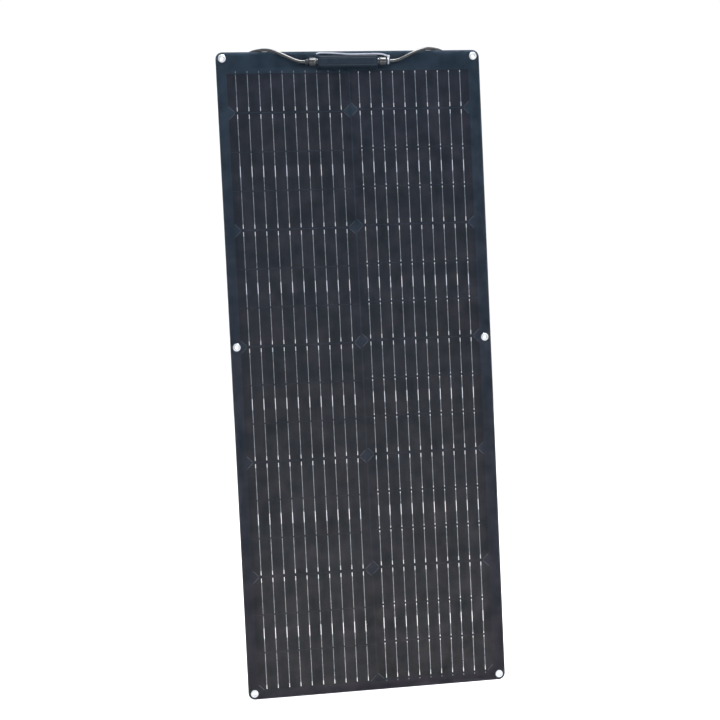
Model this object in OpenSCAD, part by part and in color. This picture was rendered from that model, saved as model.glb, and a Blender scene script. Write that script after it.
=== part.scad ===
// Flexible solar sheet that hangs from its eyelets.
// Millimetres, +Z up, front face towards -Y.
// The origin is midway between the two top eyelets, on the back plane.

/* [Cells] */
// Width of one cell strip, along a row
strip_w = 191.6; // [150:0.1:240]
// Height of one cell strip
strip_h = 60.5; // [45:0.1:75]
// Thickness of a cell
cell_t = 0.2; // [0.15:0.05:0.3]
// Gap between two strips cut from one cell
strip_gap = 0.7; // [0.6:0.1:3]
// Gap between two whole cells
cell_gap = 1.1; // [0.8:0.1:5]
// Gap between the two columns
column_gap = 2; // [1:0.1:10]
// How much higher the right column lies than the left
column_step = 2.8; // [0:0.1:4]
// Cut corner of a whole cell
corner_cut = 9; // [3:0.5:15]
// Wide margin above the left column
top_margin = 33.8; // [33:0.1:60]
// Margin below the left column
bottom_margin = 14.2; // [12:0.1:40]
// Margin left of the cells
left_margin = 16; // [15:0.1:40]
// Margin right of the cells
right_margin = 18.8; // [15:0.1:40]

/* [Ribbons] */
// Ribbons on each strip
ribbon_count = 10; // [4:1:10]
// Distance between ribbons
ribbon_pitch = 18.2; // [12:0.1:19]
// Width of a ribbon
ribbon_w = 0.9; // [0.6:0.1:2]
// Thickness of a ribbon
ribbon_t = 0.15; // [0.1:0.05:0.15]
// Length of ribbon between the cells and a bus
ribbon_stub = 4; // [3.5:0.1:6]
// Width of a bus ribbon
bus_w = 4.5; // [3:0.1:5]

/* [Laminate] */
// Thickness of the back board
board_t = 1.2; // [0.6:0.1:3]
// Thickness of encapsulant on each side of the cells
encapsulant_t = 0.4; // [0.3:0.05:0.8]
// Thickness of the front film
film_t = 0.3; // [0.1:0.05:0.6]
// Corner radius of the sheet
sheet_corner_r = 11; // [4:0.5:20]
// Bare edge of the back board round the film
film_inset = 0.8; // [0.4:0.1:3]
// Slit between two bands, which bend against each other
slit = 0.4; // [0.4:0.05:0.5]

/* [Eyelets] */
// Radius of the eyelet hole
eyelet_hole_r = 3; // [2:0.1:5]
// Wall of the eyelet barrel
eyelet_wall = 0.5; // [0.3:0.1:1]
// Outer radius of the eyelet's front flange
eyelet_flange_r = 6; // [5:0.1:8]
// Height of the front flange
eyelet_flange_t = 0.8; // [0.5:0.1:1.5]
// Distance from the sheet's edge to an eyelet's centre
eyelet_inset = 10; // [8:0.5:14]
// Thickness of the washer behind the sheet
washer_t = 0.8; // [0.5:0.1:1.5]

/* [Junction box] */
// Length of the box
box_l = 95; // [80:1:120]
// Height of the box, up the sheet
box_h = 16.8; // [16.8:0.1:18]
// Place of the box's middle, left or right of the sheet's middle
box_x = -3; // [-10:0.5:10]
// Distance from the sheet's top edge to the box's middle
box_drop = 20.5; // [18:0.5:22]
// Depth of the box's base
base_d = 11; // [11:0.5:16]
// Depth of the lid
lid_d = 3.7; // [3:0.1:6]
// Wall of base and lid
box_wall = 1.6; // [1.2:0.1:2]
// Thickness of the gasket
gasket_t = 0.8; // [0.5:0.1:1.2]
// Thickness of the bonding pad
bond_t = 0.5; // [0.3:0.1:1]
// Depth of the lid's inner lip
lip_d = 2; // [1:0.1:3]
// Room round the lip
lip_clearance = 0.25; // [0.15:0.05:0.4]

/* [Cables and glands] */
// Diameter of a cable
cable_d = 5; // [4:0.1:5.4]
// Height of the gland's axis over the box's middle
gland_rise = 2; // [0:0.1:2.2]
// Wall of a gland body under its thread
thread_wall = 0.7; // [0.5:0.1:0.8]
// Length of a gland nut
nut_l = 12.7; // [11:0.1:16]
// Wall of a gland nut
nut_wall = 1.4; // [1:0.1:1.6]
// Height of the ribs on the nuts
rib = 0.5; // [0.2:0.1:0.6]
// Running clearance of a nut
nut_clearance = 0.3; // [0.2:0.05:0.5]
// Outer radius of a connector's body
connector_r = 7.8; // [7:0.1:8.2]
// Radius of the plug's nose
nose_r = 5.4; // [4.5:0.1:5.6]
// Radius of the contact pin
pin_r = 1.5; // [1:0.1:2]

/* [Hidden] */
$fn = 48;

// Rows of strips, and how they fall into bands
rows = 16;
bands = 4;
band_rows = rows / bands;
// Shallow overlap that keeps a cut from leaving a skin
eps = 0.01;
// Half width of the area that a band's outline spans, beyond any sheet
far = 400;

// Depths from the back plane to each layer's back face
cell_depth = board_t + encapsulant_t;
ribbon_depth = cell_depth + cell_t;
film_depth = ribbon_depth + encapsulant_t;
sheet_t = film_depth + film_t;

// Overall size and edges of the sheet
column_h = rows * strip_h + gaps_above(rows - 1);
sheet_w = left_margin + 2 * strip_w + column_gap + right_margin;
sheet_h = top_margin + column_h + bottom_margin;
sheet_top = eyelet_inset;
sheet_bottom = sheet_top - sheet_h;
cells_top = sheet_top - top_margin;
cells_bottom = cells_top - column_h;
columns_x = -sheet_w / 2 + left_margin + strip_w + column_gap / 2;

// Total of the gaps above a row: whole-cell gaps lie above rows 1, 4, 7 and so on
function cell_gaps_above(row) = floor((row + 2) / 3);
function gaps_above(row) = cell_gaps_above(row) * cell_gap + (row - cell_gaps_above(row)) * strip_gap;
function row_top(row) = cells_top - row * strip_h - gaps_above(row);
function row_bottom(row) = row_top(row) - strip_h;
function gap_middle(row) = (row_top(row) + row_bottom(row - 1)) / 2;
function column_side(column) = column == 0 ? -1 : 1;
function column_x(column) = columns_x + column_side(column) * (column_gap + strip_w) / 2;
function column_rise(column) = column * column_step;
function ribbon_x(column, n) = column_x(column) + (n - (ribbon_count - 1) / 2) * ribbon_pitch;
function slit_z(band) = gap_middle(band * band_rows);

// Eyelets: height of each pair
eyelet_x = sheet_w / 2 - eyelet_inset;
eyelet_top_z = 0;
eyelet_middle_z = gap_middle(7);
eyelet_bottom_z = sheet_bottom + eyelet_inset;
barrel_r = eyelet_hole_r + eyelet_wall;
eyelet_roll = 1.1;

// Buses and their tabs into the box
bus_top_z = cells_top + ribbon_stub;
bus_bottom_z = cells_bottom + column_step - ribbon_stub;
bus_end = 6;
tab_w = 5;
tab_offset = 28;
slot_room = 1;

// Junction box
box_z = sheet_top - box_drop;
box_corner_r = 2;
base_depth = sheet_t + bond_t;
gasket_depth = base_depth + base_d;
lid_depth = gasket_depth + gasket_t;
lid_chamfer = 1.2;
lip_wall = 1;
gland_z = box_z + gland_rise;
gland_depth = base_depth + box_wall + (base_d - box_wall) / 2 - 0.2;
terminal_l = 12;
terminal_h = 6;
terminal_t = 5;
conductor_r = 1.2;
diode_l = 12;
diode_h = 8;
diode_t = 4.5;
diode_lead = 0.8;

// Glands, measured outwards from the box's end
cable_r = cable_d / 2;
collar_l = 2;
stub_l = 10;
gland_bore_r = cable_r + 0.3;
thread_r = gland_bore_r + thread_wall;
lock_nut_l = 2;
lock_nut_r = thread_r + 0.9;
nut_r = thread_r + nut_clearance + nut_wall;
collar_r = nut_r - 0.2;
nut_start = collar_l + nut_clearance;
nut_end = nut_start + nut_l;
nut_end_wall = 2;
seal_neck_r = cable_r + 0.5;
seal_end_r = cable_r + 1.5;
seal_grip_l = 3;
seal_l = 5;
gland_mouth = nut_end + seal_l;

// Tie with its uncut tail: centre line of the tail, from the head, as [along, up]
tie_w = 2.5;
tie_t = 1;
tie_head = 4.4;
tie_tail = [
    [0, 0], [-5, 2.8], [-11, 4.4], [-22, 5], [-60, 5.4], [-74, 6.6], [-88, 7.8], [-108, 8.8], [-114, 7]
];
tie_tail_turn = -3;

// Coil of the cable behind the sheet: two turns across and two layers deep, clear of the sheet by its tie
coil_inner_r = 22.5;
coil_tie_w = 4;
coil_tie_t = 1;
tie_room = 0.2;
coil_side = 112.5;
coil_down = -50;
first_layer = gland_depth + tie_room + coil_tie_t + cable_r;
second_layer = first_layer + cable_d;
coil_band = 2 * cable_d;
coil_middle = [coil_side - coil_inner_r - 1.5 * cable_d, first_layer + cable_r, coil_down];

// Route of a cable from the gland's mouth over the sheet's top edge and down its back to the coil,
// as [outwards, back, up]
lead = [
    [-26, 0, 0], [0, 0, 0], [8, 0, 0.4], [16, -0.4, 2.5], [24, -0.6, 5.9], [32, -0.4, 9.9], [40, 0.3, 13.7],
    [48, 1.6, 17.1], [56, 3.6, 19.6], [64, 6.2, 21], [72, 9.2, 21.1], [80, 12.2, 20.3], [87.5, 14.2, 17.6],
    [94.5, 15, 13.1], [100.5, 14.8, 7], [105.5, 14, -0.2], [109, first_layer + 0.5, -8.6],
    [111, first_layer + 0.1, -17.6], [112, first_layer, -27.6], [coil_side, first_layer, -38.6],
    [coil_side, first_layer, coil_down]
];
// Route from the coil down into the connector
connector_back = 20;
tail = [
    [coil_side, second_layer, coil_down], [coil_side, second_layer, -62],
    [coil_side, second_layer + 0.8, -74], [coil_side, connector_back - 0.4, -84],
    [coil_side, connector_back, -94], [coil_side, connector_back, -108]
];
cord_sides = 10;

// Connectors, measured from the cable end of the nut
connector_place = [coil_side, connector_back, -96];
connector_nut_l = 16;
connector_nut_wall = 2.5;
connector_thread_r = connector_r - 1.8;
connector_stub = 6;
connector_l = 40;
connector_mate_l = 20;
connector_flange_l = 3;
shroud_bore_r = nose_r + 0.2;
contact_wall = 0.6;
contact_root = 8;
contact_root_r = pin_r + 0.5;
cord_in_connector = 12;

// A layer of the laminate: its back face lies at this depth in front of the back plane
module layer(depth, thickness) {
    translate([0, -depth, 0]) rotate([90, 0, 0]) linear_extrude(thickness) children();
}

// A profile in the YZ plane, drawn out along X
module along_x(x, width) {
    translate([x, 0, 0]) rotate([90, 0, 90]) linear_extrude(width) children();
}

// Rectangle with round corners between two opposite corner points
module round_rectangle(low, high, r) {
    size = high - low;
    translate([low[0] + r, low[1]]) square([size[0] - 2 * r, size[1]]);
    translate([low[0], low[1] + r]) square([size[0], size[1] - 2 * r]);
    for (x = [low[0] + r, high[0] - r], y = [low[1] + r, high[1] - r]) translate([x, y]) circle(r);
}

// Edge of a band along a slit, which steps with the columns; side is 1 above the slit and -1 below it
function slit_edge(z, side) = let (half = side * slit / 2) [
    [-far, z + half], [columns_x - half, z + half],
    [columns_x - half, z + column_step + half], [far, z + column_step + half]
];
function straight_edge(z) = [[-far, z], [far, z]];
function reversed(list) = [for (i = [len(list) - 1:-1:0]) list[i]];

// Area of one band of the sheet, as an outline without its round corners
module band_area(band) {
    upper = band == 0 ? straight_edge(sheet_top + 1) : slit_edge(slit_z(band), -1);
    lower = band == bands - 1 ? straight_edge(sheet_bottom - 1) : slit_edge(slit_z(band + 1), 1);
    polygon(concat(upper, reversed(lower)));
}

// Area of one band of the laminate, with its eyelet holes
module band_sheet(band, inset) {
    difference() {
        intersection() {
            round_rectangle([-sheet_w / 2 + inset, sheet_bottom + inset],
                [sheet_w / 2 - inset, sheet_top - inset], sheet_corner_r - inset);
            band_area(band);
        }
        for (side = [-1, 1], z = [eyelet_top_z, eyelet_middle_z, eyelet_bottom_z])
            translate([side * eyelet_x, z]) circle(barrel_r);
    }
}

// One strip; cuts give the corner cut at its top and at its bottom
module strip(cut_top, cut_bottom) {
    w = strip_w / 2;
    polygon([
        [-w, cut_bottom], [-w, strip_h - cut_top], [-w + cut_top, strip_h], [w - cut_top, strip_h],
        [w, strip_h - cut_top], [w, cut_bottom], [w - cut_bottom, 0], [-w + cut_bottom, 0]
    ]);
}

module cells(band) {
    color("midnightblue") layer(cell_depth, cell_t)
        for (column = [0, 1], row = [band * band_rows:(band + 1) * band_rows - 1])
            translate([column_x(column), row_bottom(row) + column_rise(column)])
                strip(row % 3 == 1 ? corner_cut : 0, row % 3 == 0 ? corner_cut : 0);
}

// Ribbon that steps through a gap, from the front of one strip to the back of the next
function stepped_ribbon(front_end, gap, rear_end) =
    let (s = sign(rear_end - front_end) * ribbon_t / 2)
    [
        [-ribbon_depth - ribbon_t, front_end], [-ribbon_depth, front_end], [-ribbon_depth, gap - s],
        [-cell_depth + ribbon_t, gap - s], [-cell_depth + ribbon_t, rear_end], [-cell_depth, rear_end],
        [-cell_depth, gap + s], [-ribbon_depth - ribbon_t, gap + s]
    ];
function flat_ribbon(depth, low, high) =
    [[-depth - ribbon_t, low], [-depth, low], [-depth, high], [-depth - ribbon_t, high]];

// Profiles of one ribbon line down a band. In the left column each front steps up to the strip above,
// and in the right column it steps down to the strip below.
module ribbon_line(band, column) {
    first = band * band_rows;
    last = first + band_rows - 1;
    up = column == 0;
    back_depth = cell_depth - ribbon_t;
    inset = 1;
    for (row = [first:last]) {
        free_end = up ? row_bottom(row) + inset : row_top(row) - inset;
        joined = up ? row > first : row < last;
        if (joined)
            polygon(stepped_ribbon(free_end, up ? gap_middle(row) : gap_middle(row + 1),
                up ? row_top(row - 1) - inset : row_bottom(row + 1) + inset));
        if (!joined && up)
            polygon(flat_ribbon(ribbon_depth, free_end, row == 0 ? bus_top_z : row_top(row)));
        if (!joined && !up)
            polygon(flat_ribbon(ribbon_depth,
                row == rows - 1 ? bus_bottom_z - column_step : row_bottom(row), free_end));
    }
    if (up)
        polygon(flat_ribbon(back_depth,
            last == rows - 1 ? bus_bottom_z : row_bottom(last), row_top(last) - inset));
    if (!up)
        polygon(flat_ribbon(back_depth,
            row_bottom(first) + inset, first == 0 ? bus_top_z - column_step : row_top(first)));
}

module ribbons(band) {
    color("silver")
        for (column = [0, 1], n = [0:ribbon_count - 1])
            translate([0, 0, column_rise(column)])
                along_x(ribbon_x(column, n) - ribbon_w / 2, ribbon_w) ribbon_line(band, column);
}

// Bus across one column, in front of or behind the cells' plane
module bus(column, z, depth) {
    low = ribbon_x(column, 0) - bus_end;
    high = ribbon_x(column, ribbon_count - 1) + bus_end;
    layer(depth, ribbon_t) translate([low, z]) square([high - low, bus_w]);
}

// Tab from a top bus up to the box and forward to its terminal
module bus_tab(side, depth) {
    x = box_x + side * tab_offset - tab_w / 2;
    tab_z = gland_z - terminal_h / 2 - ribbon_t;
    reach = base_depth + box_wall + terminal_t;
    layer(depth, ribbon_t)
        translate([x, bus_top_z + bus_w - eps]) square([tab_w, tab_z + ribbon_t - bus_top_z - bus_w + eps]);
    translate([x, -reach, tab_z]) cube([tab_w, reach - depth, ribbon_t]);
}

module bus_ribbons_top() {
    color("dimgray") {
        bus(0, bus_top_z, ribbon_depth);
        bus_tab(-1, ribbon_depth);
        bus(1, bus_top_z, cell_depth - ribbon_t);
        bus_tab(1, cell_depth - ribbon_t);
    }
}

module bus_ribbon_bottom() {
    back_depth = cell_depth - ribbon_t;
    z = bus_bottom_z - bus_w;
    left_end = ribbon_x(0, ribbon_count - 1) + bus_end;
    color("dimgray") {
        bus(0, z, back_depth);
        bus(1, z, ribbon_depth);
        translate([left_end - eps, -ribbon_depth - ribbon_t, z]) cube([
            ribbon_x(1, 0) - bus_end - left_end + 2 * eps, ribbon_depth + ribbon_t - back_depth, bus_w
        ]);
    }
}

// Everything embedded in one band of encapsulant
module embedded(band) {
    cells(band);
    ribbons(band);
    if (band == 0) bus_ribbons_top();
    if (band == bands - 1) bus_ribbon_bottom();
}

// Slots for the two bus tabs
module tab_slots() {
    for (side = [-1, 1])
        translate([
            box_x + side * tab_offset - tab_w / 2 - slot_room, gland_z - terminal_h / 2 - ribbon_t - slot_room
        ]) square([tab_w + 2 * slot_room, ribbon_t + 2 * slot_room]);
}

module front_film(band) {
    color("slategray") layer(film_depth, film_t) difference() {
        band_sheet(band, film_inset);
        if (band == 0) tab_slots();
    }
}

module front_encapsulant(band) {
    color("gainsboro") difference() {
        layer(ribbon_depth, encapsulant_t) band_sheet(band, film_inset);
        embedded(band);
    }
}

module rear_encapsulant(band) {
    color("gainsboro") difference() {
        layer(board_t, encapsulant_t + cell_t) band_sheet(band, film_inset);
        embedded(band);
    }
}

module back_board(band) {
    color("darkslategray") layer(0, board_t) band_sheet(band, 0);
}

// Places a child, built along +Z, at both eyelets of a pair so that +Z points out of the back
module at_eyelets(z) {
    for (side = [-1, 1]) translate([side * eyelet_x, 0, z]) rotate([-90, 0, 0]) children();
}

// Eyelet: barrel through sheet and washer, domed flange in front, rolled edge behind
module eyelets(z) {
    roll_r = barrel_r + eyelet_roll;
    front = -sheet_t;
    back = washer_t + eyelet_wall;
    edge = 0.3;
    color("lightgray") at_eyelets(z) rotate_extrude() polygon([
        [eyelet_hole_r, front - eyelet_flange_t + edge], [eyelet_hole_r + edge, front - eyelet_flange_t],
        [eyelet_flange_r - 2 * edge, front - eyelet_flange_t], [eyelet_flange_r, front - edge],
        [eyelet_flange_r, front], [barrel_r, front], [barrel_r, washer_t], [roll_r, washer_t],
        [roll_r, back - edge / 2], [roll_r - edge, back], [eyelet_hole_r, back]
    ]);
}

module washers(z) {
    color("silver") at_eyelets(z) difference() {
        cylinder(h = washer_t, r = eyelet_flange_r + 0.5);
        translate([0, 0, -eps]) cylinder(h = washer_t + 2 * eps, r = barrel_r);
    }
}

// Outline of the junction box, shrunk by an inset
module box_outline(inset) {
    half = [box_l / 2 - inset, box_h / 2 - inset];
    middle = [box_x, box_z];
    round_rectangle(middle - half, middle + half, box_corner_r - min(inset, box_corner_r - 0.4));
}

// Outline of the lid's lip, which stays clear of the base's walls and of the lock nuts at both ends
module lip_outline(inset) {
    end_room = box_wall + lock_nut_l + 2 * lip_clearance;
    half = [box_l / 2 - end_room - inset, box_h / 2 - box_wall - lip_clearance - inset];
    translate([box_x, box_z] - half) square(2 * half);
}

module box_bond() {
    color("black") layer(sheet_t, bond_t) difference() {
        box_outline(1);
        tab_slots();
    }
}

// Places a child, built along +Z, at one end of the box so that +Z points outwards along the gland's axis
module at_gland(side) {
    translate([box_x + side * box_l / 2, -gland_depth, gland_z]) rotate([0, side * 90, 0]) children();
}

module box_base() {
    color("#22262c") difference() {
        layer(base_depth, base_d) box_outline(0);
        layer(base_depth + box_wall, base_d) box_outline(box_wall);
        layer(sheet_t, bond_t + 2 * box_wall) tab_slots();
        for (side = [-1, 1])
            at_gland(side) translate([0, 0, -2 * box_wall]) cylinder(h = 3 * box_wall, r = thread_r);
    }
}

module box_gasket() {
    color("dimgray") layer(gasket_depth, gasket_t) difference() {
        box_outline(0);
        box_outline(box_wall);
    }
}

// Lid: a shallow tray with chamfered front edges and a lip that enters the base
module box_lid() {
    front = -lid_depth - lid_d;
    half_h = box_h / 2;
    half_l = box_l / 2;
    color("#2b3038") difference() {
        union() {
            intersection() {
                layer(lid_depth, lid_d) box_outline(0);
                along_x(box_x - half_l, box_l) polygon([
                    [-lid_depth, box_z - half_h], [front + lid_chamfer, box_z - half_h],
                    [front, box_z - half_h + lid_chamfer], [front, box_z + half_h - lid_chamfer],
                    [front + lid_chamfer, box_z + half_h], [-lid_depth, box_z + half_h]
                ]);
                translate([0, 0, box_z - half_h]) linear_extrude(box_h) polygon([
                    [box_x - half_l, -lid_depth], [box_x - half_l, front + lid_chamfer],
                    [box_x - half_l + lid_chamfer, front], [box_x + half_l - lid_chamfer, front],
                    [box_x + half_l, front + lid_chamfer], [box_x + half_l, -lid_depth]
                ]);
            }
            layer(lid_depth - gasket_t - lip_d, gasket_t + lip_d + eps) lip_outline(0);
        }
        layer(lid_depth - gasket_t - lip_d - eps, gasket_t + lip_d + lid_d - box_wall) lip_outline(lip_wall);
    }
}

// Terminal block with the cable's bare conductor in it
module terminal(side) {
    conductor_l = box_l / 2 - tab_offset - terminal_l / 2 + lead[0][0] + gland_mouth;
    color("goldenrod") {
        translate([
            box_x + side * tab_offset - terminal_l / 2,
            -base_depth - box_wall - terminal_t,
            gland_z - terminal_h / 2
        ]) cube([terminal_l, terminal_t, terminal_h]);
        translate([box_x + side * (tab_offset + terminal_l / 2 - eps), -gland_depth, gland_z])
            rotate([0, side * 90, 0]) cylinder(h = conductor_l + eps, r = conductor_r);
    }
}

module bypass_diode() {
    reach = tab_offset - terminal_l / 2;
    color("black") {
        translate([box_x - diode_l / 2, -base_depth - box_wall - diode_t, gland_z - diode_h / 2])
            cube([diode_l, diode_t, diode_h]);
        translate([
            box_x - reach, -base_depth - box_wall - diode_t / 2 - diode_lead, gland_z - diode_lead / 2
        ]) cube([2 * reach, diode_lead, diode_lead]);
    }
}

module gland_body(side) {
    inside = box_wall + lock_nut_l;
    color("#1c1f24") at_gland(side) difference() {
        union() {
            cylinder(h = collar_l, r = collar_r);
            translate([0, 0, -inside]) cylinder(h = inside + stub_l, r = thread_r);
        }
        translate([0, 0, -inside - eps]) cylinder(h = inside + stub_l + 2 * eps, r = gland_bore_r);
    }
}

module gland_lock_nuts() {
    color("dimgray")
        for (side = [-1, 1]) at_gland(side) translate([0, 0, -box_wall - lock_nut_l]) difference() {
            rotate([0, 0, 30]) cylinder(h = lock_nut_l, r = lock_nut_r, $fn = 6);
            translate([0, 0, -eps]) cylinder(h = lock_nut_l + 2 * eps, r = thread_r);
        }
}

// Rubber seal: sleeve inside the nut, neck through its end, and the outer end that grips the cable
module gland_seal(side) {
    neck_start = nut_end - nut_end_wall - nut_clearance;
    grip_start = nut_end + nut_clearance;
    color("black") at_gland(side) rotate_extrude() polygon([
        [cable_r, stub_l], [thread_r, stub_l], [thread_r, neck_start], [seal_neck_r, neck_start],
        [seal_neck_r, grip_start], [seal_end_r, grip_start], [seal_end_r, grip_start + seal_grip_l],
        [cable_r + 0.5, gland_mouth], [cable_r, gland_mouth]
    ]);
}

// Outline of a nut with straight grip ribs
module ribbed_outline(r, ribs) {
    step = 360 / ribs;
    polygon([
        for (i = [0:ribs - 1], corner = [[0, r], [0.3, r], [0.4, r + rib], [0.9, r + rib]])
            let (angle = (i + corner[0]) * step) [corner[1] * cos(angle), corner[1] * sin(angle)]
    ]);
}

module gland_nut(side) {
    color("#1c1f24") at_gland(side) translate([0, 0, nut_start]) difference() {
        linear_extrude(nut_l) ribbed_outline(nut_r, 14);
        translate([0, 0, -eps]) cylinder(h = nut_l - nut_end_wall + eps, r = thread_r + nut_clearance);
        cylinder(h = nut_l + eps, r = seal_neck_r + nut_clearance);
    }
}

// Tail of the tie as a flat band of even width round its centre line
function tail_normal(i) =
    let (a = tie_tail[max(i - 1, 0)], b = tie_tail[min(i + 1, len(tie_tail) - 1)], d = b - a)
    [-d[1], d[0]] / norm(d);
module tie_tail_outline() {
    half = tie_w / 2;
    count = len(tie_tail);
    polygon(concat(
        [for (i = [0:count - 1]) tie_tail[i] + half * tail_normal(i)],
        [for (i = [count - 1:-1:0]) tie_tail[i] - half * tail_normal(i)]
    ));
}

module cable_tie() {
    grip_middle = nut_end + nut_clearance + seal_grip_l / 2;
    head_x = box_x + box_l / 2 + nut_end + nut_clearance + tie_head / 2;
    head_z = gland_z + seal_end_r + tie_t / 2 + tie_head / 2;
    color("whitesmoke") {
        at_gland(1) translate([0, 0, grip_middle - tie_w / 2]) difference() {
            cylinder(h = tie_w, r = seal_end_r + tie_t);
            translate([0, 0, -eps]) cylinder(h = tie_w + 2 * eps, r = seal_end_r);
        }
        translate([head_x - tie_head / 2, -gland_depth - tie_head / 2, gland_z + seal_end_r + tie_t / 2])
            cube([tie_head, tie_head, tie_head]);
        translate([head_x, -gland_depth, head_z]) rotate([0, 0, tie_tail_turn])
            translate([0, tie_t / 2, 0]) rotate([90, 0, 0]) linear_extrude(tie_t) tie_tail_outline();
    }
}

// Place in the model of a point on a cable's route
function on_route(side, p) = [
    box_x + side * (box_l / 2 + gland_mouth + p[0]), -gland_depth + p[1], gland_z + p[2]
];
function direction(path, i) =
    let (d = path[min(i + 1, len(path) - 1)] - path[max(i - 1, 0)]) d / norm(d);

// Tube of round section swept along a path that never runs along Y
module tube(path, r) {
    count = len(path);
    points = [
        for (i = [0:count - 1])
            let (t = direction(path, i), u = cross(t, [0, 1, 0]) / norm(cross(t, [0, 1, 0])), v = cross(u, t))
            for (s = [0:cord_sides - 1])
                let (angle = 360 * s / cord_sides) path[i] + r * (cos(angle) * u + sin(angle) * v)
    ];
    sides = [
        for (i = [0:count - 2], s = [0:cord_sides - 1])
            let (a = i * cord_sides + s, b = i * cord_sides + (s + 1) % cord_sides)
            each [[a, b, b + cord_sides], [a, b + cord_sides, a + cord_sides]]
    ];
    start_cap = [for (s = [cord_sides - 1:-1:0]) s];
    end_cap = [for (s = [0:cord_sides - 1]) (count - 1) * cord_sides + s];
    polyhedron(points, concat(sides, [start_cap], [end_cap]));
}

module cord(side) {
    color("black") {
        tube([for (p = lead) on_route(side, p)], cable_r);
        tube([for (p = tail) on_route(side, p)], cable_r);
    }
}

module coil(side) {
    color("black") translate(on_route(side, coil_middle)) rotate([90, 0, 0]) rotate_extrude()
        translate([coil_inner_r, -coil_band / 2]) square(coil_band);
}

module coil_tie(side) {
    outer = coil_band + 2 * coil_tie_t;
    color("whitesmoke") difference() {
        translate(on_route(side, coil_middle) + [-coil_tie_w / 2, -outer / 2, coil_inner_r - coil_tie_t])
            cube([coil_tie_w, outer, outer]);
        coil(side);
    }
}

// Places a child, built along +Z from the cable end, at a connector so that +Z points down
module at_connector(side) {
    translate(on_route(side, connector_place)) rotate([180, 0, 0]) children();
}

// Bodies: the left one ends in a nose, and the right one in a shroud that takes such a nose
module connector_body(side) {
    start = connector_nut_l + nut_clearance;
    color("#17191d") at_connector(side) difference() {
        union() {
            translate([0, 0, connector_stub]) cylinder(h = start - connector_stub, r = connector_thread_r);
            translate([0, 0, start]) cylinder(h = connector_l - start, r = connector_r);
            translate([0, 0, connector_l - connector_flange_l])
                cylinder(h = connector_flange_l, r = connector_r + 0.8);
            translate([0, 0, connector_l - eps])
                cylinder(h = connector_mate_l + eps, r = side < 0 ? nose_r : connector_r);
        }
        translate([0, 0, connector_stub - eps])
            cylinder(h = cord_in_connector - connector_stub + 2 * eps, r = gland_bore_r);
        if (side < 0)
            translate([0, 0, connector_l - contact_root])
                cylinder(h = connector_mate_l + contact_root + eps, r = pin_r + contact_wall);
        if (side > 0) {
            translate([0, 0, connector_l]) cylinder(h = connector_mate_l + eps, r = shroud_bore_r);
            translate([0, 0, connector_l - contact_root])
                cylinder(h = contact_root + eps, r = contact_root_r);
        }
    }
}

module connector_nut(side) {
    color("#17191d") at_connector(side) difference() {
        linear_extrude(connector_nut_l) ribbed_outline(connector_r, 16);
        translate([0, 0, connector_nut_wall])
            cylinder(h = connector_nut_l, r = connector_thread_r + nut_clearance);
        translate([0, 0, -eps]) cylinder(h = connector_nut_wall + 2 * eps, r = seal_neck_r + nut_clearance);
    }
}

// Contacts: a tube in the nose on the left, a pin on a thicker root in the shroud on the right
module connector_contact(side) {
    length = contact_root + connector_mate_l - 2;
    color("silver") at_connector(side) translate([0, 0, connector_l - contact_root]) {
        if (side < 0) difference() {
            cylinder(h = length, r = pin_r + contact_wall);
            translate([0, 0, contact_root]) cylinder(h = length, r = pin_r + 0.1);
        }
        if (side > 0) {
            cylinder(h = length, r = pin_r);
            cylinder(h = contact_root, r = contact_root_r);
        }
    }
}

front_film(0);  // front_film_1
front_film(1);  // front_film_2
front_film(2);  // front_film_3
front_film(3);  // front_film_4
front_encapsulant(0);  // front_encapsulant_1
front_encapsulant(1);  // front_encapsulant_2
front_encapsulant(2);  // front_encapsulant_3
front_encapsulant(3);  // front_encapsulant_4
cells(0);  // cells_1
cells(1);  // cells_2
cells(2);  // cells_3
cells(3);  // cells_4
ribbons(0);  // ribbons_1
ribbons(1);  // ribbons_2
ribbons(2);  // ribbons_3
ribbons(3);  // ribbons_4
rear_encapsulant(0);  // rear_encapsulant_1
rear_encapsulant(1);  // rear_encapsulant_2
rear_encapsulant(2);  // rear_encapsulant_3
rear_encapsulant(3);  // rear_encapsulant_4
back_board(0);  // back_board_1
back_board(1);  // back_board_2
back_board(2);  // back_board_3
back_board(3);  // back_board_4
bus_ribbons_top();
bus_ribbon_bottom();
eyelets(eyelet_top_z);  // eyelets_top
eyelets(eyelet_middle_z);  // eyelets_middle
eyelets(eyelet_bottom_z);  // eyelets_bottom
washers(eyelet_top_z);  // washers_top
washers(eyelet_middle_z);  // washers_middle
washers(eyelet_bottom_z);  // washers_bottom
box_bond();
box_base();
box_gasket();
box_lid();
terminal(-1);  // terminal_left
terminal(1);  // terminal_right
bypass_diode();
gland_body(-1);  // gland_body_left
gland_body(1);  // gland_body_right
gland_lock_nuts();
gland_seal(-1);  // gland_seal_left
gland_seal(1);  // gland_seal_right
gland_nut(-1);  // gland_nut_left
gland_nut(1);  // gland_nut_right
cable_tie();
cord(-1);  // cord_left
cord(1);  // cord_right
coil(-1);  // coil_left
coil(1);  // coil_right
coil_tie(-1);  // coil_tie_left
coil_tie(1);  // coil_tie_right
connector_body(-1);  // connector_body_left
connector_body(1);  // connector_body_right
connector_nut(-1);  // connector_nut_left
connector_nut(1);  // connector_nut_right
connector_contact(-1);  // connector_contact_left
connector_contact(1);  // connector_contact_right
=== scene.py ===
"""Flexible solar sheet: a thin laminate with six eyelets, a junction box, two glands and two leads.

Sizes are in millimetres in the part's frame, with the front face towards -Y. Meshes are in metres.
"""

import sys
import logging
import math
import random
from collections.abc import Callable, Sequence
from dataclasses import dataclass, field
from enum import Enum

import bmesh
import bpy
from mathutils import Matrix, Vector
from mathutils.geometry import tessellate_polygon


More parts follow.
